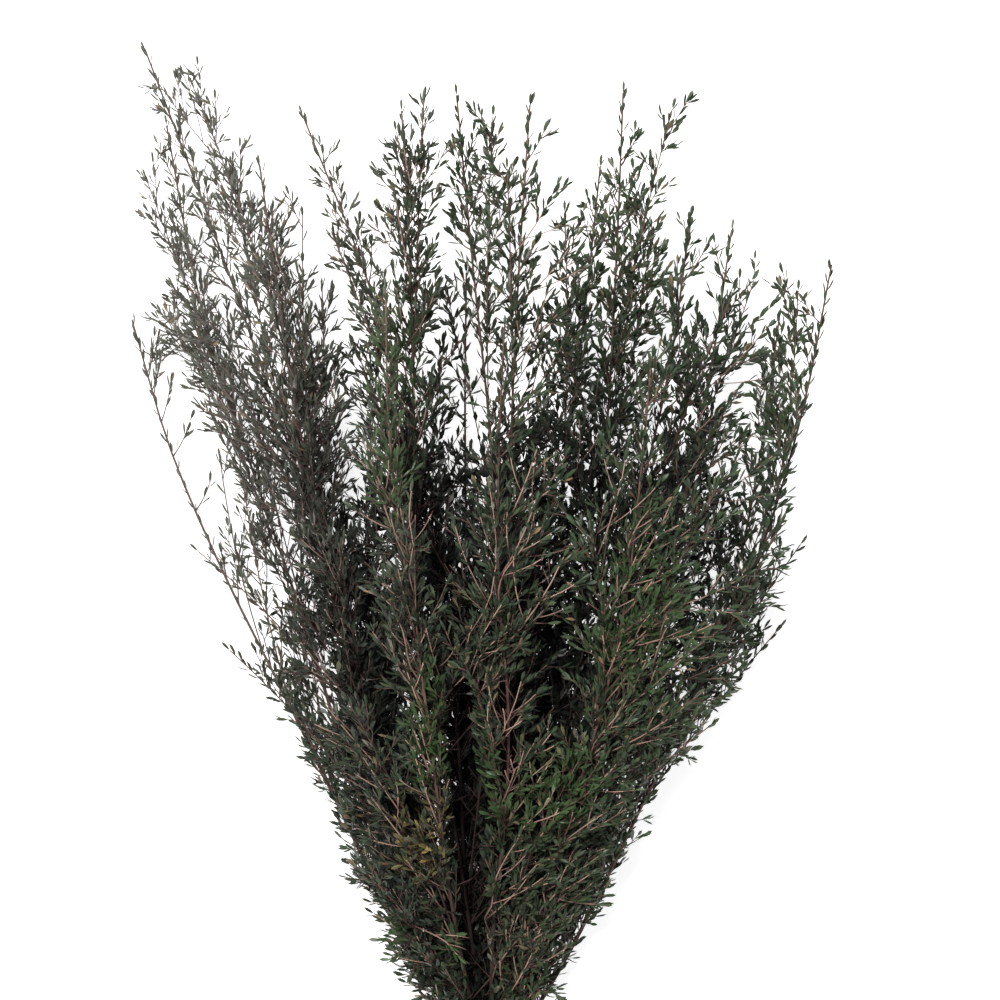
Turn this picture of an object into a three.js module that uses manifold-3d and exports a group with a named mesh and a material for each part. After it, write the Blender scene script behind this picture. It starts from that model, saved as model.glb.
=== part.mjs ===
// A bunch of dried leptospermum lying on its side. Nineteen leafy stems are drawn together by a rubber band
// near their cut ends and fan out towards +Y. Each stem forks into arms, the arms carry twigs, and all carry
// small leaves. Millimetres, +Z up. The origin is under the middle of the bunch, on the surface it lies on.
import * as THREE from "three";
import { mergeVertices } from "three/addons/utils/BufferGeometryUtils.js";
import Module from "manifold-3d";

const wasm = await Module();
wasm.setup();

// The stems where the band holds them: six-sided, flat against flat, with a small gap.
const STEM_SIDES = 6;
const STEM_RADIUS = 2.1;
const STEM_TIP_RADIUS = 0.7;
const SEAT_GAP = 0.4;
const STEM_PITCH = 2 * STEM_RADIUS * Math.cos(Math.PI / STEM_SIDES) + SEAT_GAP;
const ROW_RISE = STEM_PITCH * Math.sin(Math.PI / 3);
const BUTT_LENGTH = 58;
const BUTT_LENGTH_SPREAD = 12;
const BUTT_SPLAY = 1.3;
const WANDER = 6;

// The rubber band: three turns side by side.
const BAND_TURNS = 3;
const BAND_TURN_PITCH = 3;
const BAND_THICKNESS = 1.4;
const BAND_EDGE = 0.4;
const BAND_CORNER_POINTS = 4;
const BAND_HALF_WIDTH = (BAND_TURNS * BAND_TURN_PITCH) / 2;

// Where the tips of the stems end, measured from the middle of the band: across, along and above the
// surface. The last number says how far across a stem has spread by two thirds of its way, as a share of
// where its tip is. Rows go from the lowest to the highest, and each row from left to right.
const ROWS = [
  ["a", [[-266, 555, 18, 0.74], [-18, 590, 14, 0.8], [214, 555, 18, 0.92]]],
  ["b", [[-236, 694, 60, 0.78], [-160, 604, 62, 0.8], [80, 664, 64, 0.7], [176, 618, 58, 0.8]]],
  [
    "c",
    [
      [-248, 745, 98, 0.44], [-134, 696, 106, -0.05], [-24, 710, 110, -0.6], [95, 712, 108, 1.05],
      [245, 590, 98, 0.82],
    ],
  ],
  ["d", [[-162, 656, 146, 0.8], [-62, 694, 152, 1], [28, 698, 152, 0.5], [141, 620, 146, 0.8]]],
  ["e", [[-72, 566, 188, 0.95], [10, 540, 196, 1.3], [112, 520, 188, 0.85]]],
];

// The outline of the bunch from above: the distance along it, and how far it reaches to the left and to the
// right.
const OUTLINE = [
  [0, 24, 24], [63, 58, 44], [148, 100, 88], [234, 134, 134], [320, 172, 196], [378, 200, 214],
  [464, 214, 216], [551, 262, 228], [640, 250, 212], [745, 250, 150],
];

// How far the outer two of the lowest stems dip on their way. It brings each down onto the surface beside
// the weight.
const LOW_ROW_DIP = 6;

// Arms that shape the outline: the stem that each leaves, the share of the stem's length there, and its tip.
const OUTLINE_ARMS = [
  ["c1", 0.6, [-184, 652, 116]],
  ["c1", 0.3, [-210, 384, 92]],
  ["c1", 0.19, [-187, 313, 96]],
  ["b1", 0.6, [-252, 656, 48]],
  ["b1", 0.42, [-214, 548, 84]],
  ["a1", 0.5, [-196, 566, 16]],
  ["a1", 0.36, [-142, 470, 20]],
  ["d1", 0.8, [-212, 716, 112]],
  ["d1", 0.62, [-131, 620, 158]],
  ["d1", 0.45, [-119, 570, 128]],
  ["b2", 0.55, [-150, 590, 36]],
  ["c2", 0.62, [-113, 612, 120]],
  ["d2", 0.7, [-46, 700, 166]],
  ["c3", 0.68, [2, 694, 118]],
  ["d3", 0.7, [12, 652, 164]],
  ["b3", 0.66, [54, 630, 72]],
  ["c4", 0.68, [130, 700, 112]],
  ["c4", 0.5, [116, 610, 90]],
  ["d4", 0.55, [170, 566, 158]],
  ["b4", 0.66, [192, 578, 46]],
  ["c5", 0.72, [222, 572, 86]],
  ["c5", 0.5, [222, 486, 106]],
  ["c5", 0.34, [208, 404, 104]],
  ["a3", 0.42, [230, 388, 16]],
  ["a3", 0.3, [214, 326, 18]],
  ["d4", 0.24, [156, 262, 136]],
  ["c5", 0.14, [110, 202, 92]],
  ["a1", 0.2, [-146, 268, 14]],
  ["a3", 0.12, [88, 158, 14]],
  ["d4", 0.42, [166, 486, 150]],
  ["e3", 0.42, [158, 430, 172]],
  ["b4", 0.48, [148, 540, 66]],
  ["d1", 0.1, [-88, 152, 92]],
  ["b1", 0.07, [-74, 118, 40]],
  ["c2", 0.46, [-92, 520, 120]],
];

// Arms, twigs and leaves that a rule places.
const RULE_ARM_SHARES = [0.17, 0.36, 0.56];
const ARM_ANGLE_LEFT = [9, 20];
const ARM_ANGLE_RIGHT = [16, 32];
const ARM_LENGTH_SHARE = [0.3, 0.44];
const TWIGS_FROM = 34;
const TWIG_SPACING = 16;
const TWIG_ANGLE = [26, 50];
const TWIG_LENGTH = [24, 62];
const LEAF_SPACING = 4.2;
const LEAF_ANGLE = [26, 54];
const LEAF_STRAY = [-14, 14];
const LEAF_LENGTH = [7.6, 12.2];
const LEAF_WIDTH_SHARE = 0.29;
const LEAF_WIDEST = 0.55;
const LEAF_THICKNESS = 0.9;
const END_LEAF_LENGTH = 10;
const END_LEAF_SHAPE = [1.5, 0.55];
const FLATTENING = 0.7;

// One twig in so many is solid here, and one leaf in so many along a stem, an arm or a twig. It keeps the
// number of facets down.
const KEEP_TWIG = 24;
const KEEP_SHOOT_LEAF = 9;
const KEEP_TWIG_LEAF = 3;

const ARM_BASE_SHARE = 0.62;
const ARM_TIP_RADIUS = 0.55;
const TWIG_BASE_RADIUS = 0.75;
const TWIG_TIP_RADIUS = 0.4;
const CLEARANCE = 0.5;
const SAMPLE_STEP = 2.5;
const FLOOR_SINK = 0.75;

const degrees = THREE.MathUtils.degToRad;
const GOLDEN_TURN = degrees(137.508);
const ACROSS = new THREE.Vector3(1, 0, 0);
const material = (color, roughness) =>
  new THREE.MeshStandardMaterial({ color, roughness, metalness: 0, flatShading: true });

// A repeatable row of draws between 0 and 1.
function lottery(seed) {
  let state = seed;
  const draw = () => {
    state = (state * 1664525 + 1013904223) % 4294967296;
    return state / 4294967296;
  };
  for (let i = 0; i < 4; i++) draw();
  return draw;
}
const within = ([low, high], draw) => low + (high - low) * draw();

// The point, the heading and the radius at a distance along a shoot.
function at(shoot, distance) {
  const { knots, radii } = shoot;
  let left = distance;
  for (let i = 1; i < knots.length; i++) {
    const step = knots[i].distanceTo(knots[i - 1]);
    if (left <= step || i === knots.length - 1) {
      const share = Math.min(1, left / step);
      return {
        point: knots[i - 1].clone().lerp(knots[i], share),
        heading: knots[i].clone().sub(knots[i - 1]).normalize(),
        radius: THREE.MathUtils.lerp(radii[i - 1], radii[i], share),
      };
    }
    left -= step;
  }
}
const lengthOf = ({ knots }) => knots.slice(1).reduce((sum, k, i) => sum + k.distanceTo(knots[i]), 0);

// The direction at right angles to a heading, at a turn about it, and the one that leans from the heading to
// it.
function spoke(heading, turn) {
  const side = ACROSS.clone().addScaledVector(heading, -heading.x).normalize();
  const up = side.clone().cross(heading);
  return side.multiplyScalar(Math.cos(turn)).addScaledVector(up, Math.sin(turn));
}
const lean = (heading, angle, turn) =>
  heading.clone().multiplyScalar(Math.cos(angle)).addScaledVector(spoke(heading, turn), Math.sin(angle));

// The turn of the middle of the flat of a shoot that is nearest to a turn. Whatever grows there sits inside
// the flat.
function seatOn({ sides, roll }, turn) {
  const flat = (2 * Math.PI) / sides;
  const first = roll + Math.PI / 2 + flat / 2;
  return first + flat * Math.round((turn - first) / flat);
}

// How far a point is outside the outline of the bunch from above.
function outside({ x, y }) {
  const next = OUTLINE.findIndex(([along]) => along >= y);
  const [near, far] = next < 1 ? [OUTLINE.at(next), OUTLINE.at(next)] : [OUTLINE[next - 1], OUTLINE[next]];
  const share = far === near ? 0 : (y - near[0]) / (far[0] - near[0]);
  const column = x < 0 ? 1 : 2;
  return Math.abs(x) - THREE.MathUtils.lerp(near[column], far[column], share);
}

// The end of a shoot that may point two ways: the first, or if that is outside the outline, the one less far
// out, brought in to the outline.
function keepIn(goalAt, turn, margin) {
  const [first, other] = [goalAt(turn), goalAt(Math.PI - turn)];
  const goal = outside(first) > -margin && outside(other) < outside(first) ? other : first;
  goal.x -= Math.sign(goal.x) * Math.max(0, outside(goal) + margin);
  return goal;
}

// Brings a turn nearer to level, so that the bunch spreads more across than up and down.
const flatten = (turn) => Math.atan2(FLATTENING * Math.sin(turn), Math.cos(turn));

// A stem's knots: its cut end, the straight stretch in the band, and then a curve that spreads early and
// rises.
const STEM_STEPS = [0.05, 0.13, 0.23, 0.34, 0.46, 0.59, 0.72, 0.86, 1];
function growStem(seat, tip, spread, dip, draw) {
  const butt = BUTT_LENGTH + BUTT_LENGTH_SPREAD * draw();
  const wander = [WANDER * (0.6 + 0.8 * draw()), WANDER * (0.4 + 0.5 * draw()), 6.28 * draw(), 6.28 * draw()];
  const waves = 6 + 4 * draw();
  const start = new THREE.Vector3(seat.x, BAND_HALF_WIDTH + 1, seat.z);
  const curve = new THREE.CubicBezierCurve3(
    start,
    new THREE.Vector3(seat.x + 0.25 * tip.x, 0.155 * tip.y, seat.z + 0.2 * (tip.z - seat.z) - dip),
    new THREE.Vector3(spread * tip.x, 0.58 * tip.y, seat.z + 0.8 * (tip.z - seat.z) - 4 * dip),
    tip,
  );
  const knots = [
    new THREE.Vector3(seat.x * BUTT_SPLAY, -butt, seat.z + 1.5),
    new THREE.Vector3(seat.x, -BAND_HALF_WIDTH - 1, seat.z),
    start,
  ];
  const radii = [STEM_RADIUS, STEM_RADIUS, STEM_RADIUS];
  for (const t of STEM_STEPS) {
    const knot = curve.getPoint(t);
    const sway = 6 * t * t * (1 - t);
    knot.x += wander[0] * sway * Math.sin(waves * t + wander[2]);
    if (!dip) knot.z += wander[1] * sway * Math.sin(waves * t + wander[3]);
    const radius = THREE.MathUtils.lerp(STEM_RADIUS, STEM_TIP_RADIUS, Math.pow(t, 0.65));
    knot.z = Math.max(knot.z, FLOOR_SINK * radius);
    knots.push(knot);
    radii.push(radius);
  }
  return { knots, radii, sides: STEM_SIDES, roll: 0 };
}

// A shoot that bends from a base to a tip, by way of a point on the line that it leaves on.
function growShoot(base, leaving, tip, baseRadius, tipRadius, steps, roll) {
  const bend = base.clone().addScaledVector(leaving, 0.5 * base.distanceTo(tip));
  const curve = new THREE.QuadraticBezierCurve3(base, bend, tip);
  const knots = [];
  const radii = [];
  for (let i = 0; i <= steps; i++) {
    const radius = THREE.MathUtils.lerp(baseRadius, tipRadius, i / steps);
    const knot = curve.getPoint(i / steps);
    if (i > 0) knot.z = Math.max(knot.z, FLOOR_SINK * radius);
    knots.push(knot);
    radii.push(radius);
  }
  return { knots, radii, sides: 3, roll, rootReach: 0 };
}

// What stands already, as points with a radius along each shoot, each with the name of its stem.
const standing = [];
function samples(shoot) {
  const found = [];
  for (let i = 1; i < shoot.knots.length; i++) {
    const steps = Math.ceil(shoot.knots[i].distanceTo(shoot.knots[i - 1]) / SAMPLE_STEP);
    for (let k = 0; k < steps; k++) {
      const share = (k + 0.5) / steps;
      const point = shoot.knots[i - 1].clone().lerp(shoot.knots[i], share);
      const radius = THREE.MathUtils.lerp(shoot.radii[i - 1], shoot.radii[i], share);
      found.push([point.x, point.y, point.z, radius]);
    }
  }
  const end = shoot.knots[shoot.knots.length - 1];
  const onward = end.clone().sub(shoot.knots[shoot.knots.length - 2]).normalize();
  for (const share of [0.1, 0.35, 0.6, 0.85]) {
    const point = end.clone().addScaledVector(onward, share * END_LEAF_LENGTH);
    found.push([point.x, point.y, point.z, END_LEAF_SHAPE[0]]);
  }
  return found;
}
function isClear(points, owner) {
  const slack = (SAMPLE_STEP * SAMPLE_STEP) / 2;
  for (const other of standing) {
    if (other.owner === owner) continue;
    for (const [x, y, z, radius] of points) {
      const reach = radius + other.radius + CLEARANCE;
      const dx = x - other.x;
      const dy = y - other.y;
      const dz = z - other.z;
      if (dx * dx + dy * dy + dz * dz < reach * reach + slack) return false;
    }
  }
  return true;
}
function stand(points, owner) {
  for (const [x, y, z, radius] of points) standing.push({ x, y, z, radius, owner });
}

// An arm is tried as drawn, and then bent a little up or down until it clears the other stems.
const BEND_TRIALS = [0, 8, -8, 16, -16, 26, -26, 38];
function growArm(stem, distance, goal) {
  const root = at(stem.main, distance);
  const baseRadius = ARM_BASE_SHARE * root.radius;
  const roll = stem.arms.length;
  for (const rise of BEND_TRIALS) {
    const tip = goal.clone();
    tip.z = Math.max(tip.z + rise, 3);
    const leaving = tip.clone().sub(root.point).normalize().lerp(root.heading, 0.4).normalize();
    const arm = growShoot(root.point, leaving, tip, baseRadius, ARM_TIP_RADIUS, 3, roll);
    const points = samples(arm);
    if (isClear(points, stem.name)) {
      stand(points, stem.name);
      stem.arms.push(arm);
      return;
    }
  }
}

// Every twig along a shoot, whether it is made solid here or not.
function twigsOn(shoot, draw) {
  const length = lengthOf(shoot);
  const from = shoot.sides === STEM_SIDES ? BUTT_LENGTH + TWIGS_FROM : 0.1 * length;
  const twigs = [];
  let turn = 6.28 * draw();
  for (let d = from; d < 0.95 * length; d += TWIG_SPACING * (0.7 + 0.6 * draw())) {
    turn += GOLDEN_TURN;
    const root = at(shoot, d);
    const angle = degrees(within(TWIG_ANGLE, draw));
    const reach = within(TWIG_LENGTH, draw) * (1 - 0.5 * (d / length));
    const goalAt = (way) => {
      const leaving = lean(root.heading, angle, seatOn(shoot, flatten(way)));
      return leaving.addScaledVector(root.heading, 0.35).setLength(reach).add(root.point);
    };
    const tip = keepIn(goalAt, turn, 0);
    tip.z = Math.max(tip.z, 2.5);
    const leaving = tip.clone().sub(root.point).setLength(1.3);
    leaving.addScaledVector(root.heading, -0.3).normalize();
    const baseRadius = Math.min(TWIG_BASE_RADIUS, 0.8 * root.radius);
    const twig = growShoot(root.point, leaving, tip, baseRadius, TWIG_TIP_RADIUS, 2, turn);
    twig.rootReach = 2 * root.radius;
    twigs.push(twig);
  }
  return twigs;
}

// Every leaf along a shoot, one after another round it. Each leaves through the middle of a flat of the
// shoot.
function leavesOn(shoot, from, spacing, draw) {
  const length = lengthOf(shoot);
  const leaves = [];
  for (let d = from, i = 0; d < length; d += spacing * (0.4 + 1.2 * draw()), i++) {
    const root = at(shoot, d);
    const turn = seatOn(shoot, shoot.roll + i * GOLDEN_TURN) + degrees(within(LEAF_STRAY, draw));
    const angle = degrees(within(LEAF_ANGLE, draw)) * (1 - 0.3 * (d / length));
    const axis = lean(root.heading, angle, turn);
    leaves.push({ root: root.point, axis, heading: root.heading, length: within(LEAF_LENGTH, draw) });
  }
  return leaves;
}

// A solid from points and triangles given by their numbers.
function solidOf(points, triangles) {
  const geometry = new THREE.BufferGeometry().setFromPoints(points).setIndex(triangles);
  return solidFromGeometry(geometry);
}
function solidFromGeometry(geometry) {
  const bare = geometry.clone();
  bare.deleteAttribute("normal");
  bare.deleteAttribute("uv");
  const merged = mergeVertices(bare, 1e-3);
  return new wasm.Manifold(
    new wasm.Mesh({
      numProp: 3,
      vertProperties: merged.attributes.position.array,
      triVerts: new Uint32Array(merged.index.array),
    }),
  );
}

// A tapering tube through a shoot's knots. It ends in a leaf, which carries on in the line of the shoot. A
// twig's root is pointed, and reaches its full thickness where it leaves its shoot.
function tubeOf({ knots, radii, sides, roll, rootReach }) {
  const points = [];
  const triangles = [];
  const end = knots[knots.length - 1];
  const onward = end.clone().sub(knots[knots.length - 2]).normalize();
  const rings = [...knots.slice(0, -1), end.clone().addScaledVector(onward, 0.3 * END_LEAF_LENGTH)];
  if (rootReach) rings[0] = knots[1].clone().sub(knots[0]).setLength(rootReach).add(knots[0]);
  const last = rings.length;
  rings.forEach((ring, i) => {
    const heading = (rings[i + 1] ?? end).clone().sub(rings[Math.max(0, i - 1)]).normalize();
    if (i === last - 1) heading.copy(onward);
    const across = spoke(heading, roll);
    const up = spoke(heading, roll + Math.PI / 2);
    const [wide, thick] = i < last - 1 ? [radii[i], radii[i]] : END_LEAF_SHAPE;
    for (let k = 0; k < sides; k++) {
      const turn = Math.PI / 2 + (2 * Math.PI * k) / sides;
      const point = ring.clone().addScaledVector(across, wide * Math.cos(turn));
      points.push(point.addScaledVector(up, thick * Math.sin(turn)));
    }
  });
  points.push(end.clone().addScaledVector(onward, 0.9 * END_LEAF_LENGTH));
  if (rootReach) points.push(knots[0]);
  const apex = last * sides;
  for (let k = 0; k < sides; k++) {
    const next = (k + 1) % sides;
    for (let i = 0; i < last - 1; i++) {
      const ring = i * sides;
      triangles.push(ring + k, ring + sides + k, ring + sides + next);
      triangles.push(ring + k, ring + sides + next, ring + next);
    }
    const ring = (last - 1) * sides;
    triangles.push(ring + k, apex, ring + next);
    if (rootReach) triangles.push(apex + 1, k, next);
    else if (k > 0 && next > 0) triangles.push(0, k, next);
  }
  return solidOf(points, triangles);
}

// A leaf: pointed at both ends, widest near its middle, with its rib underneath. Its root is inside the
// shoot.
function leafCorners({ root, axis, heading, length }) {
  const across = heading.clone().cross(axis).normalize();
  const face = across.clone().cross(axis).normalize();
  const halfWidth = (LEAF_WIDTH_SHARE * length) / 2;
  const widest = root.clone().addScaledVector(axis, LEAF_WIDEST * length);
  widest.addScaledVector(face, LEAF_THICKNESS);
  return [
    root.clone(),
    widest.clone().addScaledVector(across, halfWidth),
    root.clone().addScaledVector(axis, length),
    widest.clone().addScaledVector(across, -halfWidth),
  ];
}
const LEAF_FACES = [0, 1, 3, 1, 2, 3, 0, 2, 1, 0, 3, 2];

// Makes the twigs and leaves of one shoot that are solid here, where they clear the other stems.
function dressShoot(stem, leaves, keep, solids) {
  leaves.forEach((leaf, i) => {
    if (i % keep !== keep >> 1) return;
    const corners = leafCorners(leaf);
    if (corners.some((corner) => corner.z < 0.1)) return;
    const middle = leaf.root.clone().addScaledVector(leaf.axis, 0.55 * leaf.length);
    const tip = corners[2];
    const points = [[middle.x, middle.y, middle.z, 1.6], [tip.x, tip.y, tip.z, 0.6]];
    if (!isClear(points, stem.name)) return;
    stand(points, stem.name);
    solids.push(solidOf(corners, LEAF_FACES));
  });
}

function buildStem(stem) {
  const solids = [];
  [stem.main, ...stem.arms].forEach((shoot, k) => {
    const seed = stem.seed + 1000 * (k + 1);
    solids.push(tubeOf(shoot));
    twigsOn(shoot, lottery(seed)).forEach((twig, i) => {
      if (i % KEEP_TWIG !== KEEP_TWIG >> 1) return;
      const points = samples(twig);
      if (!isClear(points, stem.name)) return;
      stand(points, stem.name);
      solids.push(tubeOf(twig));
      dressShoot(stem, leavesOn(twig, 6, LEAF_SPACING, lottery(seed + 7 * i + 3)), KEEP_TWIG_LEAF, solids);
    });
    const bare = (k === 0 ? 0.42 : 0.25) * lengthOf(shoot);
    const leaves = leavesOn(shoot, bare, 1.2 * LEAF_SPACING, lottery(seed + 1));
    dressShoot(stem, leaves, KEEP_SHOOT_LEAF, solids);
  });
  let joined = wasm.Manifold.union(solids);
  if (joined.boundingBox().min[2] < 0) {
    const below = new THREE.BoxGeometry(1200, 2000, 20).translate(0, 0, -10);
    joined = joined.subtract(solidFromGeometry(below));
  }
  return joined;
}
// The largest body of a solid once it is moved and its nearly equal corners are made one.
function settle(solid, [x, y]) {
  const welded = solidFromGeometry(geometryOf(solid.translate(-x, -y, 0)));
  return welded.decompose().sort((one, other) => other.volume() - one.volume())[0];
}
function geometryOf(solid) {
  const { vertProperties, triVerts } = solid.getMesh();
  const geometry = new THREE.BufferGeometry();
  geometry.setAttribute("position", new THREE.BufferAttribute(vertProperties, 3));
  geometry.setIndex(new THREE.BufferAttribute(triVerts, 1));
  return geometry;
}

// The band: a profile of three rounded turns side by side, carried round the six outermost stems.
function buildBand(centre) {
  const inner = STEM_RADIUS + SEAT_GAP;
  const outer = inner + BAND_THICKNESS;
  const profile = [[-BAND_HALF_WIDTH, inner]];
  for (let i = 0; i < BAND_TURNS; i++) {
    const left = i * BAND_TURN_PITCH - BAND_HALF_WIDTH;
    const right = left + BAND_TURN_PITCH;
    profile.push([left, outer - BAND_EDGE], [left + BAND_EDGE, outer], [right - BAND_EDGE, outer]);
  }
  profile.push([BAND_HALF_WIDTH, outer - BAND_EDGE], [BAND_HALF_WIDTH, inner]);
  const points = [];
  const triangles = [];
  const around = 6 * BAND_CORNER_POINTS;
  for (let n = 0; n < around; n++) {
    const corner = (Math.floor(n / BAND_CORNER_POINTS) * Math.PI) / 3;
    const share = (n % BAND_CORNER_POINTS) / (BAND_CORNER_POINTS - 1);
    const turn = corner + (share - 0.5) * (Math.PI / 3);
    for (const [y, radius] of profile) {
      const x = 2 * STEM_PITCH * Math.cos(corner) + radius * Math.cos(turn);
      const z = centre + 2 * STEM_PITCH * Math.sin(corner) + radius * Math.sin(turn);
      points.push(new THREE.Vector3(x, y, z));
    }
  }
  const across = profile.length;
  for (let n = 0; n < around; n++) {
    for (let m = 0; m < across; m++) {
      const [here, next] = [n * across, ((n + 1) % around) * across];
      const beside = (m + 1) % across;
      triangles.push(here + m, next + beside, next + m, here + m, here + beside, next + beside);
    }
  }
  return solidOf(points, triangles);
}

const seatCentre = BAND_THICKNESS + SEAT_GAP + STEM_RADIUS + 2 * ROW_RISE;

const stems = [];
ROWS.forEach(([row, tips], level) => {
  tips.forEach(([x, y, z, spread], place) => {
    const name = row + (place + 1);
    const seed = 11 + 97 * stems.length;
    const seat = { x: (place - (tips.length - 1) / 2) * STEM_PITCH, z: seatCentre + (level - 2) * ROW_RISE };
    const dip = level === 0 && place !== 1 ? LOW_ROW_DIP : 0;
    const main = growStem(seat, new THREE.Vector3(x, y, z), spread, dip, lottery(seed));
    stand(samples(main), name);
    stems.push({ name, seed, main, arms: [] });
  });
});

for (const [name, share, tip] of OUTLINE_ARMS) {
  const stem = stems.find((one) => one.name === name);
  const leafy = lengthOf(stem.main) - BUTT_LENGTH;
  growArm(stem, BUTT_LENGTH + share * leafy, new THREE.Vector3(...tip));
}
for (const stem of stems) {
  const draw = lottery(stem.seed + 300);
  const leafy = lengthOf(stem.main) - BUTT_LENGTH;
  let turn = 6.28 * draw();
  for (const share of RULE_ARM_SHARES) {
    turn += GOLDEN_TURN;
    const place = share + 0.05 * (draw() - 0.5);
    const { point, heading } = at(stem.main, BUTT_LENGTH + place * leafy);
    const angle = degrees(within(point.x < 0 ? ARM_ANGLE_LEFT : ARM_ANGLE_RIGHT, draw));
    const reach = within(ARM_LENGTH_SHARE, draw) * (1.15 - share) * leafy;
    const goalAt = (way) =>
      point.clone().addScaledVector(lean(heading, angle, seatOn(stem.main, flatten(way))), reach);
    growArm(stem, BUTT_LENGTH + place * leafy, keepIn(goalAt, turn, 10));
  }
}

const solids = new Map(stems.map((stem) => ["stem_" + stem.name, buildStem(stem)]));
solids.set("tie_band", buildBand(seatCentre));

const box = new THREE.Box3();
for (const solid of solids.values()) {
  const { min, max } = solid.boundingBox();
  box.union(new THREE.Box3(new THREE.Vector3(...min), new THREE.Vector3(...max)));
}
const middle = box.getCenter(new THREE.Vector3());

const bunch = new THREE.Group();
for (const [name, solid] of solids) {
  const geometry = geometryOf(settle(solid, middle.toArray()));
  geometry.computeVertexNormals();
  const [color, roughness] = name === "tie_band" ? [0xb08a55, 0.6] : [0x33402c, 0.75];
  const mesh = new THREE.Mesh(geometry, material(color, roughness));
  mesh.name = name;
  bunch.add(mesh);
}

export default bunch;
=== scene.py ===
import math

import bpy
import numpy as np
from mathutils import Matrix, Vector


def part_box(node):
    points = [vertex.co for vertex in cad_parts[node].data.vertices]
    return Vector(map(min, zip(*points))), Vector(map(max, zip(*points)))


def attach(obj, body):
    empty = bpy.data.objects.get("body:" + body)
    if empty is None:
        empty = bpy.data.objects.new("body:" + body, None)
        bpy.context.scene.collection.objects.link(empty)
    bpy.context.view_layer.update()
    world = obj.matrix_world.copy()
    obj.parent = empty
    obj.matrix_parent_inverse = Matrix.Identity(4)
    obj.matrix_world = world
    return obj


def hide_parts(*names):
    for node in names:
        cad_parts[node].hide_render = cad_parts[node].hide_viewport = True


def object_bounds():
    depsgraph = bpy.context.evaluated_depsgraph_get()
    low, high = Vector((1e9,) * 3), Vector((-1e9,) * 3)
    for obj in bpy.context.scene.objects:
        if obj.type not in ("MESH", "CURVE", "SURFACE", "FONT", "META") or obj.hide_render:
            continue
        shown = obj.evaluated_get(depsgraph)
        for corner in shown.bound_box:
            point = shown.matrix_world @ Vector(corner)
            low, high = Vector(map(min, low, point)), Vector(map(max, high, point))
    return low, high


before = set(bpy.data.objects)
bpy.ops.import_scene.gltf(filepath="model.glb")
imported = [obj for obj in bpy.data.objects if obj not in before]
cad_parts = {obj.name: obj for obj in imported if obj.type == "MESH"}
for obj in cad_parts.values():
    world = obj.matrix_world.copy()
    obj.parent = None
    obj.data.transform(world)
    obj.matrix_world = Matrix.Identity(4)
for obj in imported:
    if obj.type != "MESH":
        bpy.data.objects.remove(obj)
cad_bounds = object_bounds()

MM = 0.001

# The shift from the middle of the rubber band to the frame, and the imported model's box, seen from there.
tie_low, tie_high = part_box("tie_band")
SHIFT = np.array([(tie_low.x + tie_high.x) / 2 / MM, (tie_low.y + tie_high.y) / 2 / MM, 0])
BOX_LOW, BOX_HIGH = (np.array(corner[:]) / MM - SHIFT for corner in cad_bounds)

# The stems in the band.
STEM_SIDES = 6
STEM_RADIUS = 2.1
STEM_TIP_RADIUS = 0.7
SEAT_GAP = 0.4
STEM_PITCH = 2 * STEM_RADIUS * math.cos(math.pi / STEM_SIDES) + SEAT_GAP
ROW_RISE = STEM_PITCH * math.sin(math.pi / 3)
BUTT_LENGTH = 58
BUTT_LENGTH_SPREAD = 12
BUTT_SPLAY = 1.3
WANDER = 6
STEM_STEPS = (0.05, 0.13, 0.23, 0.34, 0.46, 0.59, 0.72, 0.86, 1)

# The rubber band.
BAND_TURNS = 3
BAND_TURN_PITCH = 3
BAND_THICKNESS = 1.4
BAND_HALF_WIDTH = BAND_TURNS * BAND_TURN_PITCH / 2
BAND_BULGE = 0.55
BAND_CORNER_POINTS = 10

# The tips of the stems: across, along and above the floor, and how far across two thirds of the way along.
ROWS = [
    ("a", [(-266, 555, 18, 0.74), (-18, 590, 14, 0.8), (214, 555, 18, 0.92)]),
    ("b", [(-236, 694, 60, 0.78), (-160, 604, 62, 0.8), (80, 664, 64, 0.7), (176, 618, 58, 0.8)]),
    ("c", [(-248, 745, 98, 0.44), (-134, 696, 106, -0.05), (-24, 710, 110, -0.6), (95, 712, 108, 1.05),
           (245, 590, 98, 0.82)]),
    ("d", [(-162, 656, 146, 0.8), (-62, 694, 152, 1), (28, 698, 152, 0.5), (141, 620, 146, 0.8)]),
    ("e", [(-72, 566, 188, 0.95), (10, 540, 196, 1.3), (112, 520, 188, 0.85)]),
]

# The outline of the bunch from above: the distance along it, and how far it reaches to the left and to the
# right.
OUTLINE = [
    (0, 24, 24), (63, 58, 44), (148, 100, 88), (234, 134, 134), (320, 172, 196), (378, 200, 214),
    (464, 214, 216), (551, 262, 228), (640, 250, 212), (745, 250, 150),
]
LOW_ROW_DIP = 6

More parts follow.
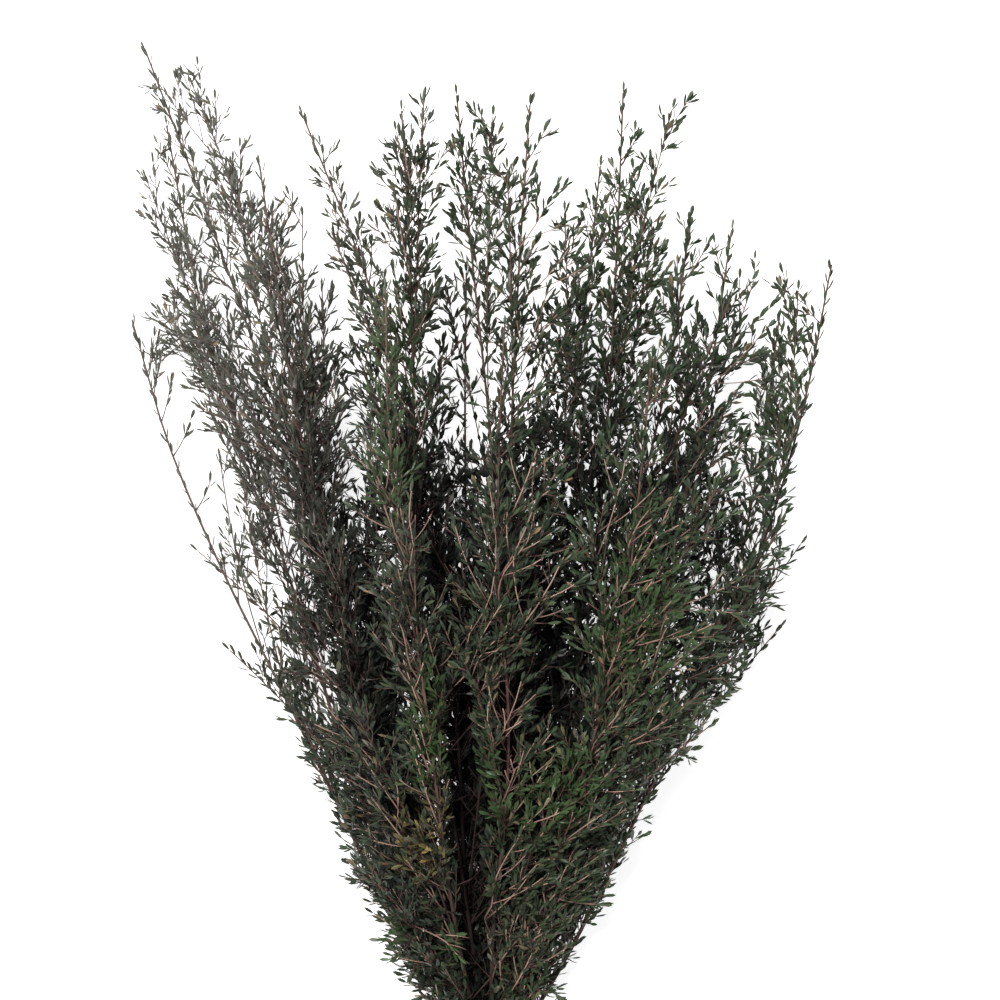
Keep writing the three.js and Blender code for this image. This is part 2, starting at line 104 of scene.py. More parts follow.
# Arms that shape the outline: the stem that each leaves, the share of the stem's length there, and its tip.
OUTLINE_ARMS = [
    ("c1", 0.6, (-184, 652, 116)), ("c1", 0.3, (-210, 384, 92)), ("c1", 0.19, (-187, 313, 96)),
    ("b1", 0.6, (-252, 656, 48)), ("b1", 0.42, (-214, 548, 84)), ("a1", 0.5, (-196, 566, 16)),
    ("a1", 0.36, (-142, 470, 20)), ("d1", 0.8, (-212, 716, 112)), ("d1", 0.62, (-131, 620, 158)),
    ("d1", 0.45, (-119, 570, 128)), ("b2", 0.55, (-150, 590, 36)), ("c2", 0.62, (-113, 612, 120)),
    ("d2", 0.7, (-46, 700, 166)), ("c3", 0.68, (2, 694, 118)), ("d3", 0.7, (12, 652, 164)),
    ("b3", 0.66, (54, 630, 72)), ("c4", 0.68, (130, 700, 112)), ("c4", 0.5, (116, 610, 90)),
    ("d4", 0.55, (170, 566, 158)), ("b4", 0.66, (192, 578, 46)), ("c5", 0.72, (222, 572, 86)),
    ("c5", 0.5, (222, 486, 106)), ("c5", 0.34, (208, 404, 104)), ("a3", 0.42, (230, 388, 16)),
    ("a3", 0.3, (214, 326, 18)), ("d4", 0.24, (156, 262, 136)), ("c5", 0.14, (110, 202, 92)),
    ("a1", 0.2, (-146, 268, 14)), ("a3", 0.12, (88, 158, 14)), ("d4", 0.42, (166, 486, 150)),
    ("e3", 0.42, (158, 430, 172)), ("b4", 0.48, (148, 540, 66)), ("d1", 0.1, (-88, 152, 92)),
    ("b1", 0.07, (-74, 118, 40)), ("c2", 0.46, (-92, 520, 120)),
]

# Arms, twigs and leaves that a rule places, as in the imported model.
RULE_ARM_SHARES = (0.17, 0.36, 0.56)
ARM_ANGLE_LEFT = (9, 20)
ARM_ANGLE_RIGHT = (16, 32)
ARM_LENGTH_SHARE = (0.3, 0.44)
ARM_PLACE_STRAY = 0.05
ARM_MARGIN = 10
TWIGS_FROM = 34
TWIG_SPACING = 16
TWIG_ANGLE = (26, 50)
TWIG_LENGTH = (24, 62)
LEAF_SPACING = 4.2
LEAF_ANGLE = (26, 54)
LEAF_STRAY = (-14, 14)
LEAF_LENGTH = (7.6, 12.2)
END_LEAF_LENGTH = 10
END_LEAF_RADIUS = 1.5
FLATTENING = 0.7
ARM_BASE_SHARE = 0.62
ARM_TIP_RADIUS = 0.55
TWIG_BASE_RADIUS = 0.75
TWIG_TIP_RADIUS = 0.4
CLEARANCE = 0.5
SAMPLE_STEP = 2.5
FLOOR_SINK = 0.75
BEND_TRIALS = (0, 8, -8, 16, -16, 26, -26, 38)
LOWEST_ARM = 3
TWIGS_UP_TO = 0.95
TWIG_SHORTENING = 0.5
TWIG_ONWARD = 0.35
TWIG_SPLAY = 0.3
TWIG_THICKNESS_SHARE = 0.8
TWIG_UNEVENNESS = (0.7, 1.3)
LEAF_UNEVENNESS = (0.4, 1.6)
WHOLE_TURN = 6.28

# What only the visual model has. All its twigs end between these heights.
LOWEST_TWIG = 2.5
HIGHEST_TWIG = 195
UNEVENNESS = (0.6, 1.4)
LEFT_TWIGS = -50
LEFT_TWIG_SHARE = 0.7

# Twigs in the thick of the bunch, on the lowest part of the stems, and where the bunch is thick. The last
# are closer together in a low part of it.
INNER_TWIG_SPACING = 24
INNER_TWIG_SHARES = (0.12, 0.95)
INNER_TWIG_LENGTH = 0.8
INNER_TWIG_EDGE = 26
INNER_TWIG_SPAN = (60, 470)
LOW_TWIG_SPACING = 10
LOW_TWIG_SPAN = (16, 220)
LOW_TWIG_ANGLE = (30, 62)
LOW_TWIG_LENGTH = (18, 42)
LOW_TWIG_OUTSIDE = 4
FILL_TWIG_SPACING = 9
FILL_TWIG_SHARES = (0.15, 0.97)
FILL_TWIG_LENGTH = 0.6
LOW_FILL_HEIGHT, LOW_FILL_REACH, LOW_FILL_CLOSER = 45, 420, 0.5

# Long twigs on the upper rows, bare at first, and their forks.
UPPER_ROWS = "de"
LONG_TWIG_SPACING = 44
LONG_TWIG_SHARES = (0.12, 0.8)
LONG_TWIG_LENGTH = (46, 86)
LONG_TWIG_ANGLE = (20, 44)
LONG_TWIG_WAY = (-10, 50)
LONG_TWIG_DROP = 4
LEFT_LONG_TWIGS = -20
LEFT_LONG_TWIG_SHARE = 0.5
FORK_SHARES = (0.3, 0.55)
FORK_ANGLE = (22, 42)
FORK_STRAY = (-30, 30)
FORK_LENGTH = (0.6, 0.9)

# Bare twigs that stand out on top: the places that each passes, seen from above. The big one has side twigs,
# each with the share of its length where it leaves and its tip.
BARE_TWIGS = [
    ((46, 230), (55, 262), (41, 284), (27, 306)), ((50, 250), (58, 275), (52, 296)),
    ((3, 228), (2, 252), (0, 281)), ((4, 238), (10, 258), (9, 274)), ((3, 202), (12, 212), (18, 230)),
    ((-25, 275), (-15, 300), (8, 348)), ((-12, 295), (4, 323)), ((-10, 282), (6, 300)),
    ((73, 331), (87, 349), (100, 371)), ((88, 382), (98, 394), (112, 416)), ((57, 356), (64, 387), (73, 422)),
    ((85, 270), (94, 280), (105, 297)), ((85, 305), (105, 325), (126, 351)),
    ((-58, 270), (-64, 300), (-71, 345)), ((-66, 276), (-74, 306), (-77, 332)),
    ((-61, 290), (-59, 318), (-66, 340)), ((-34, 285), (-39, 305), (-45, 331)),
    ((-33, 295), (-35, 320), (-39, 338)), ((0, 346), (10, 371), (32, 419)), ((-12, 325), (1, 356), (0, 429)),
    ((-84, 340), (-81, 380), (-83, 424)), ((-52, 352), (-53, 390), (-54, 427)),
    ((38, 104), (41, 130), (51, 149), (62, 164)), ((-49, 115), (-32, 100), (-15, 85)), ((34, 150), (38, 184)),
    ((61, 170), (59, 198)), ((-35, 215), (-50, 262)), ((70, 230), (84, 262), (96, 280)),
    ((110, 250), (128, 272)), ((20, 55), (28, 90), (31, 130)), ((26, 52), (36, 92), (38, 138)),
    ((30, 60), (42, 100), (44, 130)), ((14, 62), (22, 100), (24, 126)), ((10, 66), (14, 96), (17, 118)),
]
BIG_TWIG = ((-4, 97), (-4, 119), (2, 138), (7, 156), (19, 177), (32, 196), (46, 217))
BIG_TWIG_SIDES = ((0.3, (38, 149)), (0.2, (28, 152)), (0.58, (34, 175)), (0.42, (26, 168)), (0.75, (52, 200)))
BARE_TWIG_SEED = 40
BARE_TWIG_ROWS = "cde"
BARE_TWIG_KINK = 0.11
BARE_TWIG_RISE = (0.3, 0.9)
BARE_FORK_SHARES = (0.35, 0.6)
CANOPY_REACH = 12
ABOVE_CANOPY = 10
BELOW_CANOPY_COST = 0.3
BASE_TRIALS = 60

# The slot that parts the bunch low down, where wood and leaves get painted shade, the other dark hollows
# (middle and half length, across and along), and the low twigs that close the slot's bottom.
SLOT_SPAN = (50, 290)
SLOT_MIDDLE = (-8, -23)
SLOT_HALF_WIDTH = 9
SLOT_FLOOR = 40
HOLLOWS = [
    (13, 278, 9, 22), (14, 236, 6, 24), (39, 370, 6, 14), (-34, 385, 8, 24), (39, 329, 9, 9),
    (-46, 415, 9, 14),
]
HOLLOW_FLOOR = 90
SLOT_STEMS = ("a1", "a2", "b2", "b3")
SLOT_TWIG_SPACING = 2.6
SLOT_TWIGS_UP_TO = 0.7
SLOT_TWIG_REACH = (14, 34)
SLOT_TWIG_HEIGHT = (6, 34)
SLOT_TWIG_STRAY = (-1.5, 1.5)
SLOT_TWIG_NEAR = 28
SLOT_TWIG_PAST = 20

# Spurs, which are short side shoots with a few leaves.
SPUR_SPACING = 13.5
SPUR_ANGLE = (30, 58)
SPUR_LENGTH = (6, 15)
SPUR_LEAVES = (2, 5)
SPUR_LEAF_LENGTH = (7.2, 11)
SPUR_LEAF_ANGLE = (20, 48)
SPUR_LEAF_SPAN = (0.35, 0.9)
SPURS_UP_TO = 0.94
OUTLINE_SLACK = 6

# Where the bunch is thin or thick: middle across and along, half length across and along, how much less or
# more leafy it is there, and up to what height, if that isn't all the way. On the left its edge is thin as
# well, over this span and so far in.
PLACES = [
    (-11, 515, 16, 80, -0.6), (-125, 605, 12, 40, -0.5), (25, 645, 16, 42, -0.5), (178, 589, 30, 25, -0.6),
    (-232, 655, 20, 34, -0.2), (-222, 580, 20, 62, 0.7), (-154, 622, 18, 28, 0.7), (-82, 600, 16, 56, 1.0),
    (-42, 618, 20, 65, 0.7), (-11, 662, 16, 43, 1.0), (96, 600, 30, 60, 0.7), (128, 550, 25, 71, 0.6),
    (96, 510, 18, 40, 0.7), (60, 560, 20, 45, 0.8), (200, 515, 22, 34, 0.8), (232, 564, 12, 40, 1.0),
    (-72, 118, 26, 57, 1.0), (53, 114, 12, 29, 0.5), (25, 475, 18, 45, 0.8), (-82, 435, 16, 40, 0.5),
    (-118, 498, 18, 60, 1.2), (168, 455, 20, 65, 0.6), (196, 335, 18, 28, 1.0), (-150, 300, 14, 32, 0.7),
    (106, 190, 12, 32, -0.8), (52, 88, 12, 28, -0.6), (-124, 288, 14, 36, -0.6), (-15, 175, 20, 135, 1.6, 40),
    (10, 320, 90, 150, 0.7, 110), (-82, 385, 20, 60, 0.6, 90), (-20, 268, 18, 55, 1.2, 110),
    (54, 357, 16, 62, 1.0, 150), (-70, 287, 16, 42, 1.0, 150), (-12, 472, 14, 26, -0.6),
    (-150, 370, 18, 80, -0.4), (-118, 268, 12, 26, -0.5), (-122, 606, 20, 40, -0.4),
    (196, 560, 16, 26, -0.5), (20, 250, 110, 130, 0.5, 60), (-234, 545, 26, 22, 0.9),
]
PLACE_FADE = 1.3
THIN_EDGE_SPAN = (300, 500)
THIN_EDGE_WIDTH = 80
THIN_EDGE_LOSS = 0.62
TWIG_LENIENCE, LEAF_LENIENCE = 0.1, 0.35

# How the wood is made round, for a stem and for an arm: parts a step, sides, thickness beside that of the
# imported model's flat-sided ones, and the share of the length that has no leaves.
STEM_MAKE, ARM_MAKE = (4, 10, 0.94, 0.42), (3, 7, 0.78, 0.25)
SHOOT_LEAF_SPACING = 1.2 * LEAF_SPACING
SPURS_BEFORE_LEAVES = 0.9

# Twigs: parts a step, sides and thickness. Bare and long ones, from where they have leaves and spurs, and how
# pale they are at even steps along them.
TWIG_PARTS = 2
TWIG_SIDES, PALE_TWIG_SIDES, SPUR_SIDES = 4, 5, 3
TWIG_ROUND_SHARE, PALE_TWIG_SHARE = 0.78, 0.95
TWIG_LEAVES_FROM, TWIG_SPURS_FROM = 6, 3
LONG_TWIG_CLOTHED, LONG_FORK_CLOTHED, BARE_TWIG_CLOTHED = (0.5, 0.4), (0.55, 0.5), (0.5, 0.45)
PALE_TWIG_BRIGHT = (0.1, 0.3, 0.5, 0.6, 0.35)
SPUR_RADIUS = (0.42, 0.3)
TWIG_AGE, SPUR_AGE = 0.15, 0.05
AGE_RADII = (0.4, 1.8)

# A leaf: its width as a share of its length, its rib, its half width at each station along it, how it leans
# onwards, bends and rolls, and how far it stays off the floor. Leaves deep inside are wider and plainer.
LEAF_WIDTH_SHARE = 0.26
DUSTY_WIDTH_SHARE = 0.21
INNER_WIDTH_SHARE = 0.36
LEAF_RIB = 0.5
LEAF_EDGE_DROP = 0.12
LEAF_STATIONS = ((0.34, 0.86), (0.7, 1.0))
INNER_STATIONS = ((0.5, 1.0),)
INNER_FROM = 0.45
LEAF_LEAN = 0.28
LEAF_BEND = 0.09
LEAF_ROLL = 30
LEAF_FLOOR = 0.15

# Where the bunch gets painted shade inside: its height along it, how far in from the side, where along it
# the painted shade ends and starts, and the level where it is deepest, as a share of half the height. Over
# the slot there is painted shade as well.
TOP_ALONG, TOP_HEIGHT = (0, 100, 250, 400, 560), (26, 74, 130, 175, 205)
DEEP = 55
DEEP_UP_TO = (620, 440)
DEEPEST_LEVEL = 0.85
DEEP_GAIN = 1.3
SLOT_FADE = 1.6
SLOT_PAINTED_SHADE_BEFORE = 15

# Where leaves and twigs are dusty, with how much the dust takes from the painted shade, and where leaves are
# fresher.
DUSTY_ACROSS, DUSTY_ALONG = (-30, -170), (200, 450)
DUST_LESSENS_PAINTED_SHADE = 0.6
FRESH_ACROSS, FRESH_GAIN = (-40, 80), 0.25

BARK_SEED = 5
PALEST_BARK = 0.45
GOLDEN_TURN = math.radians(137.508)
ACROSS = Vector((1, 0, 0))


def lottery(seed):
    """A repeatable row of draws between 0 and 1."""
    state = seed

    def draw():
        nonlocal state
        state = (state * 1664525 + 1013904223) % 4294967296
        return state / 4294967296

    for _ in range(4):
        draw()
    return draw


def within(span, draw):
    return span[0] + (span[1] - span[0]) * draw()


def mix(low, high, share):
    return low + (high - low) * share


def grade(value, start, end):
    """How far a value is on the way from start to end, from 0 to 1."""
    return np.clip((value - start) / (end - start), 0, 1)


class Shoot:
    """A stem, arm or twig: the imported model's straight steps, and a smooth path past the same knots."""

    def __init__(self, knots, radii, sides, roll, bezier=None):
        self.knots, self.radii, self.sides, self.roll, self.bezier = knots, radii, sides, roll, bezier
        self.steps = [(b - a).length for a, b in zip(knots, knots[1:])]
        self.length = sum(self.steps)
        if bezier is None:
            self.slopes = self._slopes()

    def _slopes(self):
        each = [(b - a) / step for a, b, step in zip(self.knots, self.knots[1:], self.steps)]
        inner = [
            (before * after_step + after * before_step) / (before_step + after_step)
            for before, after, before_step, after_step in zip(each, each[1:], self.steps, self.steps[1:])
        ]
        return [each[0]] + inner + [each[-1]]

    def smooth(self, i, share):
        """The point of the smooth path that stands for a share of step i."""
        if self.bezier:
            t = (i + share) / len(self.steps)
            base, bend, tip = self.bezier
            return base * (1 - t) ** 2 + bend * 2 * t * (1 - t) + tip * t * t
        s, step = share, self.steps[i]
        return (
            self.knots[i] * (2 * s**3 - 3 * s * s + 1)
            + self.slopes[i] * step * (s**3 - 2 * s * s + s)
            + self.knots[i + 1] * (3 * s * s - 2 * s**3)
            + self.slopes[i + 1] * step * (s**3 - s * s)
        )

    def at(self, distance):
        """The point, heading and radius at a distance, and the point of the smooth path there."""
        left, last = distance, len(self.steps) - 1
        for i, step in enumerate(self.steps):
            if left <= step or i == last:
                share = min(1, left / step)
                a, b = self.knots[i], self.knots[i + 1]
                radius = mix(self.radii[i], self.radii[i + 1], share)
                return a.lerp(b, share), (b - a).normalized(), radius, self.smooth(i, share)
            left -= step

    def onward(self):
        return (self.knots[-1] - self.knots[-2]).normalized()


def spoke(heading, turn):
    side = (ACROSS - heading * heading.x).normalized()
    return side * math.cos(turn) + side.cross(heading) * math.sin(turn)


def lean(heading, angle, turn):
    return heading * math.cos(angle) + spoke(heading, turn) * math.sin(angle)


def seat_on(shoot, turn):
    flat = 2 * math.pi / shoot.sides
    first = shoot.roll + math.pi / 2 + flat / 2
    return first + flat * math.floor((turn - first) / flat + 0.5)


def flatten(turn):
    return math.atan2(FLATTENING * math.sin(turn), math.cos(turn))


def outside(point):
    """How far a point is outside the outline of the bunch from above."""
    later = next((i for i, row in enumerate(OUTLINE) if row[0] >= point.y), -1)
    near, far = (OUTLINE[later], OUTLINE[later]) if later < 1 else (OUTLINE[later - 1], OUTLINE[later])
    share = 0 if far is near else (point.y - near[0]) / (far[0] - near[0])
    column = 1 if point.x < 0 else 2
    return abs(point.x) - mix(near[column], far[column], share)


def leafiness(point):
    """How leafy the bunch is at a place: 1 is the usual, less is thin and more is thick."""
    share = 1.0
    for x, y, wide, tall, change, *below in PLACES:
        if below and point.z > below[0]:
            continue
        near = PLACE_FADE - ((point.x - x) / wide) ** 2 - ((point.y - y) / tall) ** 2
        share += change * min(max(near, 0), 1)
    if point.x < 0 and THIN_EDGE_SPAN[0] < point.y < THIN_EDGE_SPAN[1]:
        share -= THIN_EDGE_LOSS * min(max(1 + outside(point) / THIN_EDGE_WIDTH, 0), 1)
    return share


def keep_in(goal_at, turn, margin):
    first, other = goal_at(turn), goal_at(math.pi - turn)
    goal = other if outside(first) > -margin and outside(other) < outside(first) else first
    goal.x -= math.copysign(1, goal.x) * max(0, outside(goal) + margin)
    return goal


def grow_stem(seat, tip, spread, dip, draw):
    butt = BUTT_LENGTH + BUTT_LENGTH_SPREAD * draw()
    sideways, upward = WANDER * (0.6 + 0.8 * draw()), WANDER * (0.4 + 0.5 * draw())
    phase, upward_phase = WHOLE_TURN * draw(), WHOLE_TURN * draw()
    waves = 6 + 4 * draw()
    start = Vector((seat.x, BAND_HALF_WIDTH + 1, seat.z))
    rise = tip.z - seat.z
    controls = (
        start,
        Vector((seat.x + 0.25 * tip.x, 0.155 * tip.y, seat.z + 0.2 * rise - dip)),
        Vector((spread * tip.x, 0.58 * tip.y, seat.z + 0.8 * rise - 4 * dip)),
        tip,
    )
    knots = [
        Vector((seat.x * BUTT_SPLAY, -butt, seat.z + 1.5)),
        Vector((seat.x, -BAND_HALF_WIDTH - 1, seat.z)),
        start,
    ]
    radii = [STEM_RADIUS] * 3
    for t in STEM_STEPS:
        weights = ((1 - t) ** 3, 3 * t * (1 - t) ** 2, 3 * t * t * (1 - t), t**3)
        knot = sum((control * weight for control, weight in zip(controls, weights)), Vector((0, 0, 0)))
        sway = 6 * t * t * (1 - t)
        knot.x += sideways * sway * math.sin(waves * t + phase)
        if not dip:
            knot.z += upward * sway * math.sin(waves * t + upward_phase)
        radius = mix(STEM_RADIUS, STEM_TIP_RADIUS, t**0.65)
        knot.z = max(knot.z, FLOOR_SINK * radius)
        knots.append(knot)
        radii.append(radius)
    return Shoot(knots, radii, STEM_SIDES, 0)


def grow_shoot(root, leaving, tip, base_radius, tip_radius, steps, roll):
    """A shoot that bends from its root, as Shoot.at gives it, to a tip."""
    base, smooth_base = root[0], root[3]
    bend = base + leaving * 0.5 * (tip - base).length
    knots, radii = [], []
    for i in range(steps + 1):
        t = i / steps
        radius = mix(base_radius, tip_radius, t)
        knot = base * (1 - t) ** 2 + bend * 2 * t * (1 - t) + tip * t * t
        if i > 0:
            knot.z = max(knot.z, FLOOR_SINK * radius)
        knots.append(knot)
        radii.append(radius)
    smooth_bend = smooth_base + leaving * 0.5 * (tip - smooth_base).length
    return Shoot(knots, radii, 3, roll, bezier=(smooth_base, smooth_bend, tip))


standing = {}


def samples(shoot):
    found = []
    for i, step in enumerate(shoot.steps):
        count = math.ceil(step / SAMPLE_STEP)
        for k in range(count):
            share = (k + 0.5) / count
            point = shoot.knots[i].lerp(shoot.knots[i + 1], share)
            found.append((*point, mix(shoot.radii[i], shoot.radii[i + 1], share)))
    for share in (0.1, 0.35, 0.6, 0.85):
        found.append((*(shoot.knots[-1] + shoot.onward() * share * END_LEAF_LENGTH), END_LEAF_RADIUS))
    return np.array(found)


def is_clear(points, owner):
    for name, groups in standing.items():
        if name == owner:
            continue
        for other in groups:
            gap = points[:, None, :3] - other[None, :, :3]
            reach = points[:, None, 3] + other[None, :, 3] + CLEARANCE
            if ((gap * gap).sum(axis=2) < reach * reach + SAMPLE_STEP**2 / 2).any():
                return False
    return True


def grow_arm(stem, distance, goal):
    """Adds an arm, bent up or down until it clears the other stems, or none."""
    root = stem["main"].at(distance)
    for rise in BEND_TRIALS:
        tip = goal.copy()
        tip.z = max(tip.z + rise, LOWEST_ARM)
        leaving = (tip - root[0]).normalized().lerp(root[1], 0.4).normalized()
        arm = grow_shoot(root, leaving, tip, ARM_BASE_SHARE * root[2], ARM_TIP_RADIUS, 3, len(stem["arms"]))
        points = samples(arm)
        if is_clear(points, stem["name"]):
            standing.setdefault(stem["name"], []).append(points)
            stem["arms"].append(arm)
            return


def places_along(shoot, span, spacing, draw, unevenness=UNEVENNESS):
    """Distances along a shoot, unevenly spaced. The spacing is a number, or a function of the place."""
    d, end = span
    while d < end:
        yield d
        gap = spacing(shoot.at(d)[0]) if callable(spacing) else spacing
        d += gap * within(unevenness, draw)


def stretch(shoot, shares):
    return [share * shoot.length for share in shares]


def twig_to(shoot, d, tip, roll=None):
    """A twig that leaves a shoot at a distance along it and bends to a tip."""
    root = shoot.at(d)
    tip.z = min(max(tip.z, LOWEST_TWIG), HIGHEST_TWIG)
    leaving = ((tip - root[0]).normalized() * (1 + TWIG_SPLAY) - root[1] * TWIG_SPLAY).normalized()
    base_radius = min(TWIG_BASE_RADIUS, TWIG_THICKNESS_SHARE * root[2])
    return grow_shoot(root, leaving, tip, base_radius, TWIG_TIP_RADIUS, 2, d if roll is None else roll)


def twigs_on(shoot, draw):
    """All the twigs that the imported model's rule places."""
    start = BUTT_LENGTH + TWIGS_FROM if shoot.sides == STEM_SIDES else 0.1 * shoot.length
    twigs = []
    turn = WHOLE_TURN * draw()
    span = (start, TWIGS_UP_TO * shoot.length)
    for d in places_along(shoot, span, TWIG_SPACING, draw, TWIG_UNEVENNESS):
        turn += GOLDEN_TURN
        point, heading, _, _ = shoot.at(d)
        angle = math.radians(within(TWIG_ANGLE, draw)) * (LEFT_TWIG_SHARE if point.x < LEFT_TWIGS else 1)
        reach = within(TWIG_LENGTH, draw) * (1 - TWIG_SHORTENING * (d / shoot.length))

        def goal_at(way):
            leaving = lean(heading, angle, seat_on(shoot, flatten(way))) + heading * TWIG_ONWARD
            return point + leaving.normalized() * reach

        twigs.append(twig_to(shoot, d, keep_in(goal_at, turn, 0), turn))
    return twigs


def more_twigs(shoot, draw, places, angle, length, share, wanted, flat=True):
    """Twigs all round a shoot at these places, where their tips are wanted."""
    twigs = []
    turn = WHOLE_TURN * draw()
    for d in places:
        turn += GOLDEN_TURN
        point, heading, _, _ = shoot.at(d)
        outward = lean(heading, math.radians(within(angle, draw)), flatten(turn) if flat else turn)
        tip = point + outward * within(length, draw) * share
        tip.z = max(tip.z, LOWEST_TWIG)
        if wanted(tip):
            twigs.append(twig_to(shoot, d, tip))
    return twigs


def inner_twigs_on(shoot, draw):
    """More twigs, only in the thick of the bunch."""

    def wanted(tip):
        return INNER_TWIG_SPAN[0] < tip.y < INNER_TWIG_SPAN[1] and outside(tip) < -INNER_TWIG_EDGE

    places = places_along(shoot, stretch(shoot, INNER_TWIG_SHARES), INNER_TWIG_SPACING, draw)
    return more_twigs(shoot, draw, places, TWIG_ANGLE, TWIG_LENGTH, INNER_TWIG_LENGTH, wanted)


def low_twigs_on(shoot, draw):
    """Short leafy twigs on the lowest part of a stem."""

    def wanted(tip):
        return outside(tip) < LOW_TWIG_OUTSIDE

    places = places_along(shoot, [BUTT_LENGTH + end for end in LOW_TWIG_SPAN], LOW_TWIG_SPACING, draw)
    return more_twigs(shoot, draw, places, LOW_TWIG_ANGLE, LOW_TWIG_LENGTH, 1, wanted, flat=False)


def fill_twigs_on(shoot, draw):
    """More twigs where the bunch is thick."""

    def spacing(point):
        low = point.z < LOW_FILL_HEIGHT and point.y < LOW_FILL_REACH
        return FILL_TWIG_SPACING * (LOW_FILL_CLOSER if low else 1)

    def wanted(tip):
        return draw() < leafiness(tip) - 1 and outside(tip) < 0

    places = places_along(shoot, stretch(shoot, FILL_TWIG_SHARES), spacing, draw)
    return more_twigs(shoot, draw, places, TWIG_ANGLE, TWIG_LENGTH, FILL_TWIG_LENGTH, wanted)


def long_twigs_on(shoot, draw):
    """Long twigs that leave the upper shoots towards the nearer side of the bunch, bare at first."""
    twigs = []
    for d in places_along(shoot, stretch(shoot, LONG_TWIG_SHARES), LONG_TWIG_SPACING, draw):
        point, heading, _, _ = shoot.at(d)
        angle = math.radians(within(LONG_TWIG_ANGLE, draw))
        way = math.radians(within(LONG_TWIG_WAY, draw))
        reach = within(LONG_TWIG_LENGTH, draw)
        if point.x < LEFT_LONG_TWIGS:
            way, angle = math.pi - way, LEFT_LONG_TWIG_SHARE * angle
        tip = point + lean(heading, angle, way) * reach
        if tip.z > point.z - LONG_TWIG_DROP and outside(tip) < 0:
            twigs.append(twig_to(shoot, d, tip))
    return twigs


def fork_of(twig, share, draw):
    """A side twig of a long twig."""
    point, heading, _, _ = twig.at(share * twig.length)
    way = math.radians(180 * round(draw()) + within(FORK_STRAY, draw))
    reach = (1 - share) * twig.length * within(FORK_LENGTH, draw)
    tip = point + lean(heading, math.radians(within(FORK_ANGLE, draw)), way) * reach
    return twig_to(twig, share * twig.length, tip)


def canopy(x, y):
    """The height of the highest stem or arm near a place seen from above."""
    shoots = np.concatenate([points for groups in standing.values() for points in groups])
    near = np.hypot(shoots[:, 0] - x, shoots[:, 1] - y) < CANOPY_REACH
    return shoots[near, 2].max() if near.any() else 0


def bare_twig(places, path, draw):
    """A kinked bare twig past places seen from above, from the nearest high shoot, and its stem's name."""
    (x, y), top = path[0], canopy(*path[0])
    name, base, _, thick = min(places, key=lambda place: (
        math.hypot(place[1].x - x, place[1].y - y) + BELOW_CANOPY_COST * max(0, top - place[1].z)
    ))
    knots = [base.copy()]
    for x, y in path[1:]:
        before = knots[-1]
        step = Vector((x - before.x, y - before.y, 0))
        least, most = (share * step.length for share in BARE_TWIG_RISE)
        rise = Vector((0, 0, min(max(canopy(x, y) + ABOVE_CANOPY - before.z, least), most)))
        kink = Vector((step.y, -step.x, 0)) * BARE_TWIG_KINK * (2 * draw() - 1)
        knots += [before + (step + rise) / 2 + kink, before + step + rise]
    for knot in knots:
        knot.z = min(knot.z, HIGHEST_TWIG)
    shares = [i / (len(knots) - 1) for i in range(len(knots))]
    thick = min(TWIG_BASE_RADIUS, TWIG_THICKNESS_SHARE * thick)
    return name, Shoot(knots, [mix(thick, TWIG_TIP_RADIUS, share) for share in shares], 3, 0)


def bare_twigs_for(stems):
    """The bare forked twigs that stand out on top, by the name of the stem that each is on."""
    high = [stem for stem in stems if stem["name"][0] in BARE_TWIG_ROWS]
    shoots = [(stem["name"], shoot) for stem in high for shoot in [stem["main"], *stem["arms"]]]
    places = [
        (name, *shoot.at(trial / BASE_TRIALS * shoot.length)[:3])
        for name, shoot in shoots for trial in range(1, BASE_TRIALS)
    ]
    found = {}
    for i, path in enumerate([*BARE_TWIGS, BIG_TWIG]):
        draw = lottery(BARE_TWIG_SEED + i)
        name, twig = bare_twig(places, path, draw)
        if path is BIG_TWIG:
            tips = [(share, Vector((*tip, canopy(*tip) + ABOVE_CANOPY))) for share, tip in BIG_TWIG_SIDES]
            forks = [twig_to(twig, share * twig.length, tip) for share, tip in tips]
        else:
            forks = [fork_of(twig, share, draw) for share in BARE_FORK_SHARES]
        found.setdefault(name, []).append((twig, forks))
    return found


def slot_twigs_on(shoot, draw):
    """Low leafy twigs that close the bottom of the slot, where they take its painted shade."""
    twigs = []
    d = BUTT_LENGTH
    while d < SLOT_TWIGS_UP_TO * shoot.length:
        point = shoot.at(d)[0]
        tip = Vector((0, point.y + within(SLOT_TWIG_REACH, draw), within(SLOT_TWIG_HEIGHT, draw)))
        tip.x = slot_middle(tip.y) + SLOT_HALF_WIDTH * within(SLOT_TWIG_STRAY, draw)
        below = point.z < SLOT_FLOOR and SLOT_SPAN[0] < tip.y < SLOT_SPAN[1] + SLOT_TWIG_PAST
        if below and abs(point.x - tip.x) < SLOT_TWIG_NEAR:
            twigs.append(twig_to(shoot, d, tip))
        d += SLOT_TWIG_SPACING
    return twigs


def slot_middle(y):
    return mix(*SLOT_MIDDLE, (y - SLOT_SPAN[0]) / (SLOT_SPAN[1] - SLOT_SPAN[0]))


def in_slot(point):
    """Whether a point is over the dark slot that parts the bunch low down, or over another dark hollow."""
    x, y, z = point
    hollows = (((x - a) / wide) ** 2 + ((y - b) / tall) ** 2 < 1 for a, b, wide, tall in HOLLOWS)
    if z > HOLLOW_FLOOR and any(hollows):
        return True
    return SLOT_SPAN[0] < y < SLOT_SPAN[1] and abs(x - slot_middle(y)) < SLOT_HALF_WIDTH and z > SLOT_FLOOR


